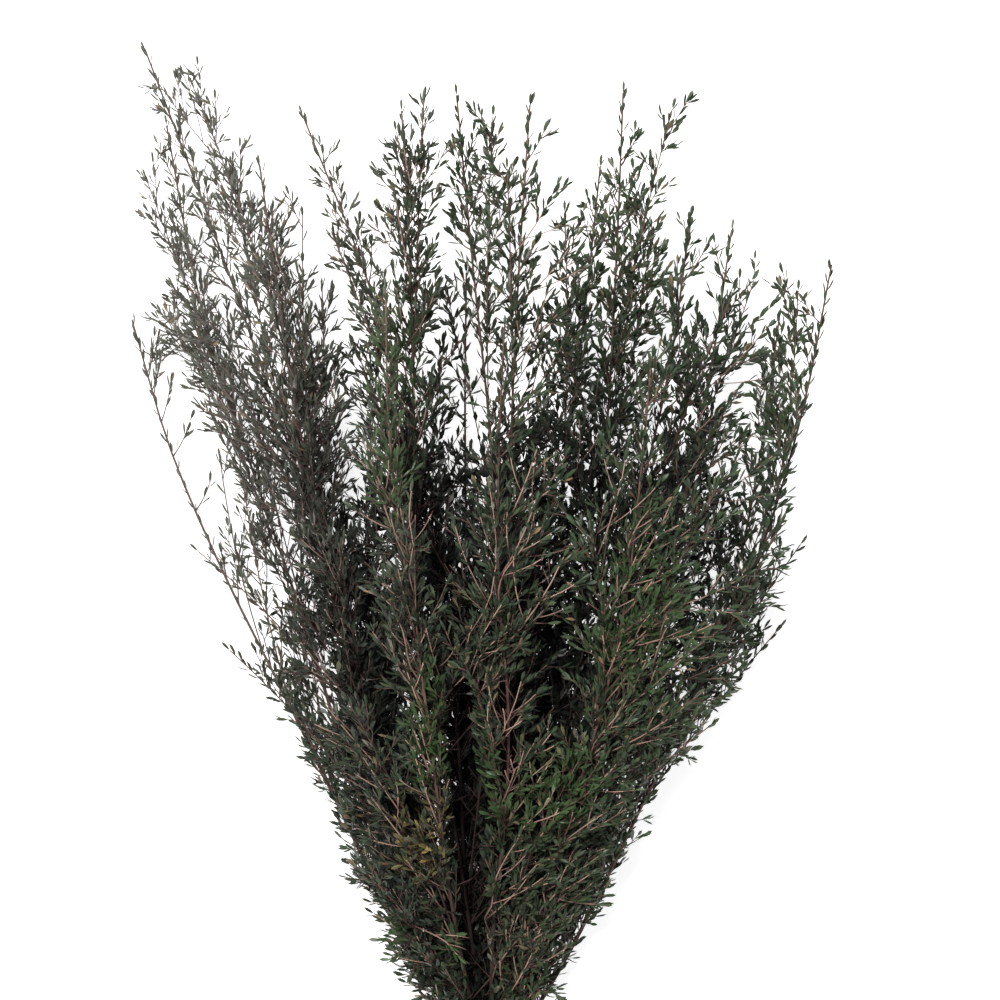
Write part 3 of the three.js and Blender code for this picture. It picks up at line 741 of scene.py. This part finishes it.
def leaves_on(shoot, start, spacing, draw):
    """The leaves along a shoot: root, axis, heading of the shoot, and length."""
    leaves = []
    i = 0
    for d in places_along(shoot, (start, shoot.length), spacing, draw, LEAF_UNEVENNESS):
        _, heading, _, root = shoot.at(d)
        turn = seat_on(shoot, shoot.roll + i * GOLDEN_TURN) + math.radians(within(LEAF_STRAY, draw))
        angle = math.radians(within(LEAF_ANGLE, draw)) * (1 - 0.3 * (d / shoot.length))
        leaves.append((root, lean(heading, angle, turn), heading, within(LEAF_LENGTH, draw)))
        i += 1
    return leaves


def end_leaf(shoot):
    """The leaf at the end of a shoot, which carries on in its line."""
    onward = shoot.onward()
    downward = (onward + Vector((0, 0, -0.3))).normalized()
    return shoot.knots[-1], onward, downward, 0.9 * END_LEAF_LENGTH


def spurs_on(shoot, start, draw):
    """Short side shoots, each a root and a tip, and their leaves."""
    spurs, leaves = [], []
    turn = WHOLE_TURN * draw()
    span = (start + SPUR_SPACING * draw(), SPURS_UP_TO * shoot.length)
    for d in places_along(shoot, span, SPUR_SPACING, draw):
        turn += GOLDEN_TURN
        _, heading, _, root = shoot.at(d)
        outward = lean(heading, math.radians(within(SPUR_ANGLE, draw)), flatten(turn))
        length = within(SPUR_LENGTH, draw)
        count = int(within(SPUR_LEAVES, draw))
        tip = root + outward * length
        if outside(tip) < OUTLINE_SLACK and tip.z < HIGHEST_TWIG and draw() < leafiness(root):
            spurs.append((root, tip))
            for k in range(count):
                place = root.lerp(tip, mix(*SPUR_LEAF_SPAN, (k + 0.6 * draw()) / count))
                side = turn + (k + 1) * GOLDEN_TURN
                axis = lean(outward, math.radians(within(SPUR_LEAF_ANGLE, draw)), side)
                leaves.append((place, axis, outward, within(SPUR_LEAF_LENGTH, draw)))
            leaves.append((tip, outward, heading, within(SPUR_LEAF_LENGTH, draw)))
    return spurs, leaves


def grow_bunch():
    """The stems with their arms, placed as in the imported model."""
    seat_centre = BAND_THICKNESS + SEAT_GAP + STEM_RADIUS + 2 * ROW_RISE
    stems = []
    for level, (row, tips) in enumerate(ROWS):
        for place, (x, y, z, spread) in enumerate(tips):
            name = row + str(place + 1)
            seed = 11 + 97 * len(stems)
            across = (place - (len(tips) - 1) / 2) * STEM_PITCH
            seat = Vector((across, 0, seat_centre + (level - 2) * ROW_RISE))
            dip = LOW_ROW_DIP if level == 0 and place != 1 else 0
            main = grow_stem(seat, Vector((x, y, z)), spread, dip, lottery(seed))
            standing[name] = [samples(main)]
            stems.append({"name": name, "seed": seed, "main": main, "arms": []})
    for name, share, tip in OUTLINE_ARMS:
        stem = next(one for one in stems if one["name"] == name)
        leafy = stem["main"].length - BUTT_LENGTH
        grow_arm(stem, BUTT_LENGTH + share * leafy, Vector(tip))
    for stem in stems:
        draw = lottery(stem["seed"] + 300)
        leafy = stem["main"].length - BUTT_LENGTH
        turn = WHOLE_TURN * draw()
        for share in RULE_ARM_SHARES:
            turn += GOLDEN_TURN
            place = share + ARM_PLACE_STRAY * (draw() - 0.5)
            point, heading, _, _ = stem["main"].at(BUTT_LENGTH + place * leafy)
            angle = math.radians(within(ARM_ANGLE_LEFT if point.x < 0 else ARM_ANGLE_RIGHT, draw))
            reach = within(ARM_LENGTH_SHARE, draw) * (1.15 - share) * leafy

            def goal_at(way):
                return point + lean(heading, angle, seat_on(stem["main"], flatten(way))) * reach

            grow_arm(stem, BUTT_LENGTH + place * leafy, keep_in(goal_at, turn, ARM_MARGIN))
    return stems


lots = np.random.default_rng(BARK_SEED)


class Surface:
    """Points, faces and point values that make up one mesh."""

    def __init__(self):
        self.points, self.faces, self.values, self.count = [], [], {}, 0

    def add(self, points, faces, values):
        """points (n, 3), faces a list of (m, corners) arrays, values name -> n numbers"""
        self.points.append(points)
        self.faces += [face + self.count for face in faces]
        for name, value in values.items():
            self.values.setdefault(name, []).append(np.broadcast_to(value, len(points)))
        self.count += len(points)

    def make(self, name):
        mesh = bpy.data.meshes.new(name)
        points = (np.concatenate(self.points) + SHIFT) * MM
        mesh.vertices.add(len(points))
        mesh.vertices.foreach_set("co", points.ravel())
        sizes = np.concatenate([np.full(len(face), face.shape[1]) for face in self.faces])
        corners = np.concatenate([face.ravel() for face in self.faces])
        mesh.loops.add(len(corners))
        mesh.loops.foreach_set("vertex_index", corners.astype(np.int32))
        mesh.polygons.add(len(sizes))
        mesh.polygons.foreach_set("loop_start", (np.cumsum(sizes) - sizes).astype(np.int32))
        mesh.update(calc_edges=True)
        for key, value in self.values.items():
            field = mesh.attributes.new(key, "FLOAT", "POINT")
            field.data.foreach_set("value", np.concatenate(value).astype(np.float32))
        piece = bpy.data.objects.new(name, mesh)
        bpy.context.scene.collection.objects.link(piece)
        return piece


def depth_in(points):
    """How deep points are in the bunch, from 0 at its outside to 1, which also sets the painted shade of
    leaves and wood.
    """
    x, y, z = points.T
    along, left, right = np.array(OUTLINE).T
    reach = np.where(x < 0, np.interp(y, along, left), np.interp(y, along, right))
    side = grade(reach - np.abs(x), 0, DEEP)
    level = 1 - np.abs(2 * z / np.interp(y, TOP_ALONG, TOP_HEIGHT) - DEEPEST_LEVEL) ** 2
    level = np.clip(DEEP_GAIN * level, 0, 1) * grade(y, *DEEP_UP_TO)
    # Over the low slot, all wood and leaves get painted shade, darkest along its middle.
    slot = SLOT_FADE - np.abs(x - slot_middle(y)) / SLOT_HALF_WIDTH
    slot *= (y > SLOT_SPAN[0] - SLOT_PAINTED_SHADE_BEFORE) & (y < SLOT_SPAN[1])
    # Where leaves and twigs are dusty, the painted shade inside is less.
    return np.maximum(side * level * (1 - DUST_LESSENS_PAINTED_SHADE * dustiness(points)), np.clip(slot, 0, 1))


def dustiness(points):
    """How dusty the leaves and twigs are: most at the upper left."""
    return grade(points[:, 0], *DUSTY_ACROSS) * grade(points[:, 1], *DUSTY_ALONG)


def unit(vectors):
    return vectors / np.linalg.norm(vectors, axis=-1, keepdims=True)


def add_tubes(surface, tubes, sides, age, cut=0.0, bright=0.0):
    """Round tubes, closed at both ends. Each has its points and radii, and all have as many points."""
    paths, radii = (np.array([tube[i] for tube in tubes]) for i in range(2))
    n, rings, _ = paths.shape
    ahead = unit(np.gradient(paths, axis=1))
    mean = unit(paths[:, -1] - paths[:, 0])
    aside = np.where(np.abs(mean[:, 2:3]) < 0.8, [0.0, 0.0, 1.0], [1.0, 0.0, 0.0])
    normal = unit(np.cross(np.broadcast_to(aside[:, None], ahead.shape), ahead))
    across = np.cross(ahead, normal)
    turn = 2 * np.pi * np.arange(sides)[:, None] / sides
    ring = normal[:, :, None] * np.cos(turn) + across[:, :, None] * np.sin(turn)
    around = paths[:, :, None] + ring * radii[:, :, None, None]
    points = np.concatenate([around.reshape(n, rings * sides, 3), paths[:, :1], paths[:, -1:]], axis=1)
    points = np.clip(points, BOX_LOW, BOX_HIGH)
    size = rings * sides + 2
    first = (np.arange(n) * size)[:, None, None]
    k = np.arange(sides)
    after = (k + 1) % sides
    last = (rings - 1) * sides
    bands = np.stack([k, after, after + sides, k + sides], axis=1)
    quads = (np.arange(rings - 1)[:, None, None] * sides + bands).reshape(-1, 4)
    root = np.stack([np.full(sides, rings * sides), after, k], axis=1)
    end = np.stack([np.full(sides, rings * sides + 1), k + last, after + last], axis=1)
    triangles = np.concatenate([root, end])
    pale = np.clip(lots.uniform(0, PALEST_BARK, (n, 1)) ** 1.5 + bright, 0, 1)
    cuts = np.zeros((n, size))
    cuts[:, -2] = cut

    def on_points(values):
        values = np.broadcast_to(values, (n, rings))
        ends = values[:, :1], values[:, -1:]
        return np.concatenate([np.repeat(values, sides, axis=1), *ends], axis=1).ravel()

    surface.add(
        points.reshape(-1, 3),
        [(first + quads).reshape(-1, 4), (first + triangles).reshape(-1, 3)],
        {
            "age": on_points(age),
            "cut": cuts.ravel(),
            "pale": on_points(pale),
            # Painted shade for wood deep in the bunch and over the slot.
            "inner": depth_in(points.reshape(-1, 3)),
            "dusty": dustiness(points.reshape(-1, 3)),
        },
    )


def add_leaves(surface, leaves, seed, stations):
    """Leaves that stay in the box. Each has a flat upper side, a rib underneath and a slight bend."""
    rng = np.random.default_rng(seed)
    root, axis, heading = (np.array([leaf[i][:] for leaf in leaves]) for i in range(3))
    length = np.array([leaf[3] for leaf in leaves])
    axis = unit(axis + LEAF_LEAN * heading)
    n = len(length)
    across = unit(np.cross(heading, axis) + 1e-6)
    face = unit(np.cross(across, axis))
    roll = np.radians(rng.uniform(-LEAF_ROLL, LEAF_ROLL, n))[:, None]
    across, face = across * np.cos(roll) + face * np.sin(roll), face * np.cos(roll) - across * np.sin(roll)
    bend = rng.uniform(-0.4, 1.0, n) * LEAF_BEND * length
    # How deep each leaf is: it widens the leaf and sets its painted shade.
    inner, dusty = depth_in(root), dustiness(root)
    share = LEAF_WIDTH_SHARE + (INNER_WIDTH_SHARE - LEAF_WIDTH_SHARE) * inner
    share += (DUSTY_WIDTH_SHARE - share) * dusty
    half = share * length / 2 * rng.uniform(0.85, 1.12, n)
    corners, along, edge = [root], [0.0], [0.5]
    for share, width in stations:
        middle = root + axis * (share * length)[:, None] + face * (bend * 4 * share * (1 - share))[:, None]
        rib = middle + face * LEAF_RIB * (0.6 + 0.4 * width)
        side = across * (width * half)[:, None]
        lift = face * (-LEAF_EDGE_DROP * half)[:, None]
        corners += [rib, middle + side + lift, middle - side + lift]
        along += [share] * 3
        edge += [0.0, 1.0, 1.0]
    corners.append(root + axis * length[:, None])
    along.append(1.0)
    edge.append(0.5)
    points = np.stack(corners, axis=1)
    kept = ((points >= BOX_LOW) & (points <= BOX_HIGH)).all(axis=(1, 2))
    kept &= (points[:, :, 2] > LEAF_FLOOR).all(axis=1)
    draws = rng.uniform(0, 1, n)
    middles = [Vector(middle) for middle in root + axis * (0.6 * length)[:, None]]
    kept &= [
        not in_slot(middle) and draw < leafiness(middle) + LEAF_LENIENCE
        for middle, draw in zip(middles, draws)
    ]
    points, root, inner, dusty, n = points[kept], root[kept], inner[kept], dusty[kept], int(kept.sum())
    size = points.shape[1]
    first = (np.arange(n) * size)[:, None, None]
    k, after = np.arange(3), (np.arange(3) + 1) % 3
    rings = np.arange(len(stations) - 1)[:, None, None]
    quads = (3 * rings + np.stack([k, after, after + 3, k + 3], axis=1) + 1).reshape(-1, 4)
    base = np.stack([np.zeros(3, int), after + 1, k + 1], axis=1)
    tip = np.stack([np.full(3, size - 1), k + size - 4, after + size - 4], axis=1)
    tint = np.repeat(rng.uniform(0, 1, n), size)
    faces = [(first + np.concatenate([base, tip])).reshape(-1, 3)]
    if len(quads):
        faces.append((first + quads).reshape(-1, 4))
    surface.add(
        points.reshape(-1, 3),
        faces,
        {
            "tint": tint,
            "along": np.tile(along, n),
            "edge": np.tile(edge, n),
            "fresh": np.repeat(freshness(root, rng), size),
            "olive": np.repeat(near_spray(root, OLIVE_SPRAY) * rng.uniform(0, 1, n) ** 2, size),
            # Painted shade for leaves deep in the bunch and over the slot.
            "inner": np.repeat(inner, size),
            "dusty": np.repeat(dusty, size),
        },
    )


# Sprays that are fresher or yellower than the rest: middle across and along, half length across and along,
# the least height, and how much brighter.
SPRAYS = [
    (-70, 490, 22, 85, 120, 1.0),
    (-45, 258, 13, 50, 60, 1.0),
    (-76, 97, 18, 20, 30, 0.6),
    (28, 202, 32, 24, 60, 0.6),
    (110, 330, 40, 60, 120, 0.35),
    (-2, 214, 16, 30, 50, 0.9),
    (-22, 98, 14, 18, 30, 0.9),
    (58, 218, 20, 26, 60, 0.5),
]
OLIVE_SPRAY = (-48, 180, 24, 34, 50, 1.2)
SPRAY_FADE = 1.4


def near_spray(root, spray):
    x, y, wide, tall, least, more = spray
    near = ((root[:, 0] - x) / wide) ** 2 + ((root[:, 1] - y) / tall) ** 2
    return more * np.clip(SPRAY_FADE - near, 0, 1) * (root[:, 2] > least)


def freshness(root, rng):
    fresh = rng.uniform(0, 0.3, len(root)) + FRESH_GAIN * grade(root[:, 0], *FRESH_ACROSS)
    for spray in SPRAYS:
        fresh += near_spray(root, spray)
    return np.clip(fresh, 0, 1)


def path_of(shoot, parts, share):
    """The smooth path of a shoot in so many parts a step, and its radii."""
    places = [(i, k / parts) for i in range(len(shoot.steps)) for k in range(parts)]
    places.append((len(shoot.steps) - 1, 1))
    points = np.array([shoot.smooth(i, s)[:] for i, s in places])
    radii = np.array([mix(shoot.radii[i], shoot.radii[i + 1], s) for i, s in places]) * share
    points[:, 2] = np.maximum(points[:, 2], FLOOR_SINK * radii)
    return points, radii


def dress(stem, bare_twigs):
    """The wood and the leaves of one stem."""
    wood, foliage = Surface(), Surface()
    green_twigs, pale_twigs, spurs, leaves = [], [], [], []

    def clothe(shoot, leaves_from, spurs_from, seed, seed_step=2, spacing=LEAF_SPACING):
        more_spurs, more_leaves = spurs_on(shoot, spurs_from, lottery(seed + seed_step))
        spurs.extend(more_spurs)
        leaves.extend(leaves_on(shoot, leaves_from, spacing, lottery(seed)))
        leaves.extend([end_leaf(shoot), *more_leaves])

    for k, shoot in enumerate([stem["main"], *stem["arms"]]):
        seed = stem["seed"] + 1000 * (k + 1)
        parts, sides, round_share, bare_share = STEM_MAKE if k == 0 else ARM_MAKE
        tube = path_of(shoot, parts, round_share)
        add_tubes(wood, [tube], sides, grade(tube[1], *AGE_RADII), cut=1.0 if k == 0 else 0.0)
        twigs = twigs_on(shoot, lottery(seed)) + inner_twigs_on(shoot, lottery(seed + 4))
        twigs += fill_twigs_on(shoot, lottery(seed + 8))
        if k == 0:
            twigs += low_twigs_on(shoot, lottery(seed + 6))
        if stem["name"] in SLOT_STEMS:
            twigs += slot_twigs_on(shoot, lottery(seed + 10))
        draw = lottery(seed + 9)
        for i, twig in enumerate(twigs):
            if in_slot(twig.knots[-1]) or draw() > leafiness(twig.knots[1]) + TWIG_LENIENCE:
                continue
            green_twigs.append(path_of(twig, TWIG_PARTS, TWIG_ROUND_SHARE))
            clothe(twig, TWIG_LEAVES_FROM, TWIG_SPURS_FROM, seed + 7 * i + 3)
        if stem["name"][0] in UPPER_ROWS:
            for i, twig in enumerate(long_twigs_on(shoot, lottery(seed + 5))):
                if in_slot(twig.knots[-1]):
                    continue
                pale_twigs.append(path_of(twig, TWIG_PARTS, PALE_TWIG_SHARE))
                clothe(twig, *stretch(twig, LONG_TWIG_CLOTHED), seed + 7 * i + 4)
                for share in FORK_SHARES:
                    fork = fork_of(twig, share, lottery(seed + 7 * i + round(100 * share)))
                    pale_twigs.append(path_of(fork, TWIG_PARTS, PALE_TWIG_SHARE))
                    clothe(fork, *stretch(fork, LONG_FORK_CLOTHED), seed + 11 * i + round(50 * share))
        bare = bare_share * shoot.length
        clothe(shoot, bare, SPURS_BEFORE_LEAVES * bare, seed + 1, 1, SHOOT_LEAF_SPACING)

    for i, (bare_twig, forks) in enumerate(bare_twigs):
        for k, twig in enumerate([bare_twig, *forks]):
            tube = path_of(twig, TWIG_PARTS, PALE_TWIG_SHARE)
            places, steps = (np.linspace(0, 1, len(row)) for row in (tube[1], PALE_TWIG_BRIGHT))
            bright = np.interp(places, steps, PALE_TWIG_BRIGHT)
            add_tubes(wood, [tube], PALE_TWIG_SIDES, 0, bright=bright)
            clothe(twig, *stretch(twig, BARE_TWIG_CLOTHED), stem["seed"] + 13 * i + 29 * k)

    add_tubes(wood, green_twigs, TWIG_SIDES, TWIG_AGE)
    if pale_twigs:
        add_tubes(wood, pale_twigs, PALE_TWIG_SIDES, 0, bright=np.array(PALE_TWIG_BRIGHT))
    add_tubes(wood, [((root[:], tip[:]), SPUR_RADIUS) for root, tip in spurs], SPUR_SIDES, SPUR_AGE)
    deep = depth_in(np.array([leaf[0][:] for leaf in leaves])) > INNER_FROM
    for inner, stations in ((False, LEAF_STATIONS), (True, INNER_STATIONS)):
        chosen = [leaf for leaf, one in zip(leaves, deep) if one == inner]
        if chosen:
            add_leaves(foliage, chosen, stem["seed"] + inner, stations)
    return wood, foliage


def add_band(surface):
    """The rubber band: three rounded turns side by side, carried round the six outermost stems."""
    centre = BAND_THICKNESS + SEAT_GAP + STEM_RADIUS + 2 * ROW_RISE
    inner = STEM_RADIUS + SEAT_GAP
    profile = [(-BAND_HALF_WIDTH, inner)]
    for i in range(BAND_TURNS):
        middle = (i + 0.5) * BAND_TURN_PITCH - BAND_HALF_WIDTH
        for swing in range(-80, 81, 20):
            profile.append((
                middle + 0.5 * BAND_TURN_PITCH * math.sin(math.radians(swing)),
                inner + BAND_THICKNESS - BAND_BULGE * (1 - math.cos(math.radians(swing))),
            ))
    profile.append((BAND_HALF_WIDTH, inner))
    around = 6 * BAND_CORNER_POINTS
    points = []
    for n in range(around):
        corner = math.pi / 3 * (n // BAND_CORNER_POINTS)
        turn = corner + (n % BAND_CORNER_POINTS / (BAND_CORNER_POINTS - 1) - 0.5) * math.pi / 3
        for y, radius in profile:
            points.append((
                2 * STEM_PITCH * math.cos(corner) + radius * math.cos(turn),
                y,
                centre + 2 * STEM_PITCH * math.sin(corner) + radius * math.sin(turn),
            ))
    count = len(profile)
    here = np.arange(count)
    beside = (here + 1) % count
    quads = []
    for n in range(around):
        first, after = n * count, (n + 1) % around * count
        quads.append(np.stack([first + here, first + beside, after + beside, after + here], 1))
    surface.add(np.array(points), [np.concatenate(quads)], {})


def opaque(color):
    return (*color, 1) if isinstance(color, tuple) else color


class Look:
    """A material made of nodes. A source is the name of a value that points have, or a node's output."""

    def __init__(self, name, shader_inputs):
        self.material = bpy.data.materials.new(name)
        self.material.use_nodes = True
        self.tree = self.material.node_tree
        self.shader = self.tree.nodes["Principled BSDF"]
        self.fill(self.shader, shader_inputs)

    def fill(self, node, values):
        """Links a node's inputs to outputs, or sets them."""
        for name, value in values.items():
            if isinstance(value, bpy.types.NodeSocket):
                self.tree.links.new(value, node.inputs[name])
            else:
                node.inputs[name].default_value = value

    def add(self, kind, values, **settings):
        node = self.tree.nodes.new("ShaderNode" + kind)
        for name, value in settings.items():
            setattr(node, name, value)
        self.fill(node, values)
        return node.outputs

    def value(self, name):
        return self.add("Attribute", {}, attribute_name=name)["Fac"]

    def noise(self, scale, detail, squeeze=(1, 1, 1)):
        where = self.add("TexCoord", {})["Object"]
        mapped = self.add("Mapping", {"Vector": where, "Scale": squeeze})["Vector"]
        return self.add("TexNoise", {"Vector": mapped, "Scale": scale, "Detail": detail})["Fac"]

    def mixed(self, source, low, high, first, second):
        """One colour where the source is low, and another where it is high."""
        source = self.value(source) if isinstance(source, str) else source
        factor = self.add("MapRange", {"Value": source, "From Min": low, "From Max": high})["Result"]
        return self.add("Mix", {0: factor, 6: opaque(first), 7: opaque(second)}, data_type="RGBA")[2]

    def layered(self, color, layers):
        """A colour under layers, each with its source, the span over which it appears, and its colour."""
        for source, low, high, over in layers:
            color = self.mixed(source, low, high, color, over)
        return color

    def bump(self, height, distance, strength):
        return self.add("Bump", {"Height": height, "Distance": distance, "Strength": strength})["Normal"]


def leaf_material():
    look = Look("dried_leaf", {"Roughness": 0.45, "Specular IOR Level": 0.45})
    patches = look.noise(9, 2)
    mottle = look.noise(700, 3)
    tint = look.value("tint")
    color = look.mixed(patches, 0.35, 0.65, (0.017, 0.026, 0.024), (0.020, 0.028, 0.016))
    color = look.layered(color, [
        (tint, 0.1, 0.7, (0.038, 0.056, 0.036)),
        # Leaves with a high tint are lighter: partly their own random tone, partly a painted highlight.
        (tint, 0.7, 0.95, (0.098, 0.130, 0.068)),
        ("fresh", 0.1, 1, (0.055, 0.118, 0.034)),
        ("dusty", 0, 1.5, (0.150, 0.144, 0.128)),
        (tint, 0.955, 1, (0.36, 0.24, 0.14)),
        ("olive", 0.1, 1, (0.34, 0.26, 0.09)),
        (mottle, 0.45, 0.8, (0.075, 0.085, 0.058)),
        ("along", 0.9, 1.05, (0.10, 0.065, 0.04)),
        # Each leaf is lighter along its middle than at its sides: a painted sheen.
        ("edge", 0.3, 0.0, (0.085, 0.105, 0.062)),
        # Painted shade: leaves deep in the bunch and over the slot are near black.
        ("inner", 0.05, 1.1, (0.005, 0.006, 0.006)),
    ])
    look.fill(look.shader, {"Base Color": color, "Normal": look.bump(mottle, 0.0002, 0.5)})
    return look.material


def bark_material():
    look = Look("thin_bark", {"Roughness": 0.7, "Specular IOR Level": 0.25})
    streaks = look.noise(420, 4, (1, 0.16, 1))
    patches = look.noise(26, 2)
    young = look.mixed(streaks, 0.3, 0.7, (0.095, 0.050, 0.044), (0.19, 0.105, 0.088))
    old = look.mixed(streaks, 0.35, 0.7, (0.038, 0.025, 0.022), (0.100, 0.066, 0.054))
    color = look.layered(young, [
        ("pale", 0.05, 0.8, (0.54, 0.345, 0.275)),
        ("dusty", 0, 1.3, (0.155, 0.115, 0.115)),
        ("age", 0, 1, old),
        (patches, 0.6, 0.85, (0.13, 0.10, 0.088)),
        # Painted shade: wood deep in the bunch and over the slot is near black.
        ("inner", 0.1, 1.15, (0.014, 0.009, 0.009)),
        ("cut", 0.05, 0.2, (0.55, 0.40, 0.24)),
    ])
    look.fill(look.shader, {"Base Color": color, "Normal": look.bump(streaks, 0.0004, 0.7)})
    return look.material


def rubber_material():
    look = Look("tan_rubber", {"Roughness": 0.55})
    grain = look.noise(1500, 3)
    bloom = look.noise(160, 3)
    color = look.mixed(bloom, 0.35, 0.7, (0.42, 0.26, 0.12), (0.56, 0.38, 0.20))
    look.fill(look.shader, {"Base Color": color, "Normal": look.bump(grain, 0.0001, 0.4)})
    return look.material


LEAF, BARK, RUBBER = leaf_material(), bark_material(), rubber_material()


def add_piece(surface, name, node, material):
    piece = surface.make(name)
    piece.data.materials.append(material)
    piece.data.polygons.foreach_set("use_smooth", np.ones(len(piece.data.polygons), bool))
    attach(piece, "root")
    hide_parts(node)
    return piece


stems = grow_bunch()
bare_twigs = bare_twigs_for(stems)
for stem in stems:
    wood, foliage = dress(stem, bare_twigs.get(stem["name"], []))
    add_piece(wood, "wood_" + stem["name"], "stem_" + stem["name"], BARK)
    leafy = add_piece(foliage, "leaves_" + stem["name"], "stem_" + stem["name"], LEAF)
    leafy.data.set_sharp_from_angle(angle=math.radians(50))
band = Surface()
add_band(band)
add_piece(band, "band_turns", "tie_band", RUBBER).data.set_sharp_from_angle(angle=math.radians(60))

# The floor, the lights and the camera. The camera looks straight down, and its lower edge cuts the bunch as
# the photograph's does.
VIEW_CENTRE = (7, 421)
VIEW_HEIGHT = 2490
FLOOR_SIZE = 12

floor_mesh = bpy.data.meshes.new("floor")
half = FLOOR_SIZE / 2
corners = [(-half, -half, 0), (half, -half, 0), (half, half, 0), (-half, half, 0)]
floor_mesh.from_pydata(corners, [], [(0, 1, 2, 3)])
floor = bpy.data.objects.new("floor", floor_mesh)
bpy.context.scene.collection.objects.link(floor)
floor_mesh.materials.append(Look("pale_floor", {
    "Base Color": (0.86, 0.86, 0.85, 1),
    "Roughness": 0.9,
    "Emission Color": (1, 1, 1, 1),
    "Emission Strength": 0.8,
}).material)


def add_light(name, place, size, energy, color):
    light = bpy.data.lights.new(name, "AREA")
    light.shape, light.size, light.energy, light.color = "SQUARE", size, energy, color
    lamp = bpy.data.objects.new(name, light)
    lamp.location = place
    lamp.rotation_euler = (-Vector(place)).to_track_quat("-Z", "Y").to_euler()
    bpy.context.scene.collection.objects.link(lamp)


add_light("key", (-0.8, 0.9, 2.9), 1.0, 108, (1.0, 0.98, 0.95))
add_light("fill", (1.9, -0.6, 1.9), 2.0, 7, (0.95, 0.97, 1.0))
world = bpy.data.worlds.new("studio")
world.use_nodes = True
world.node_tree.nodes["Background"].inputs["Color"].default_value = (0.93, 0.96, 1.0, 1)
world.node_tree.nodes["Background"].inputs["Strength"].default_value = 0.15
bpy.context.scene.world = world
bpy.context.scene.view_settings.view_transform = "Standard"

camera_data = bpy.data.cameras.new("camera")
camera_data.lens, camera_data.sensor_width = 120, 36
camera = bpy.data.objects.new("camera", camera_data)
camera.location = (
    (VIEW_CENTRE[0] + SHIFT[0]) * MM,
    (VIEW_CENTRE[1] + SHIFT[1]) * MM,
    VIEW_HEIGHT * MM,
)
bpy.context.scene.collection.objects.link(camera)
bpy.context.scene.camera = camera
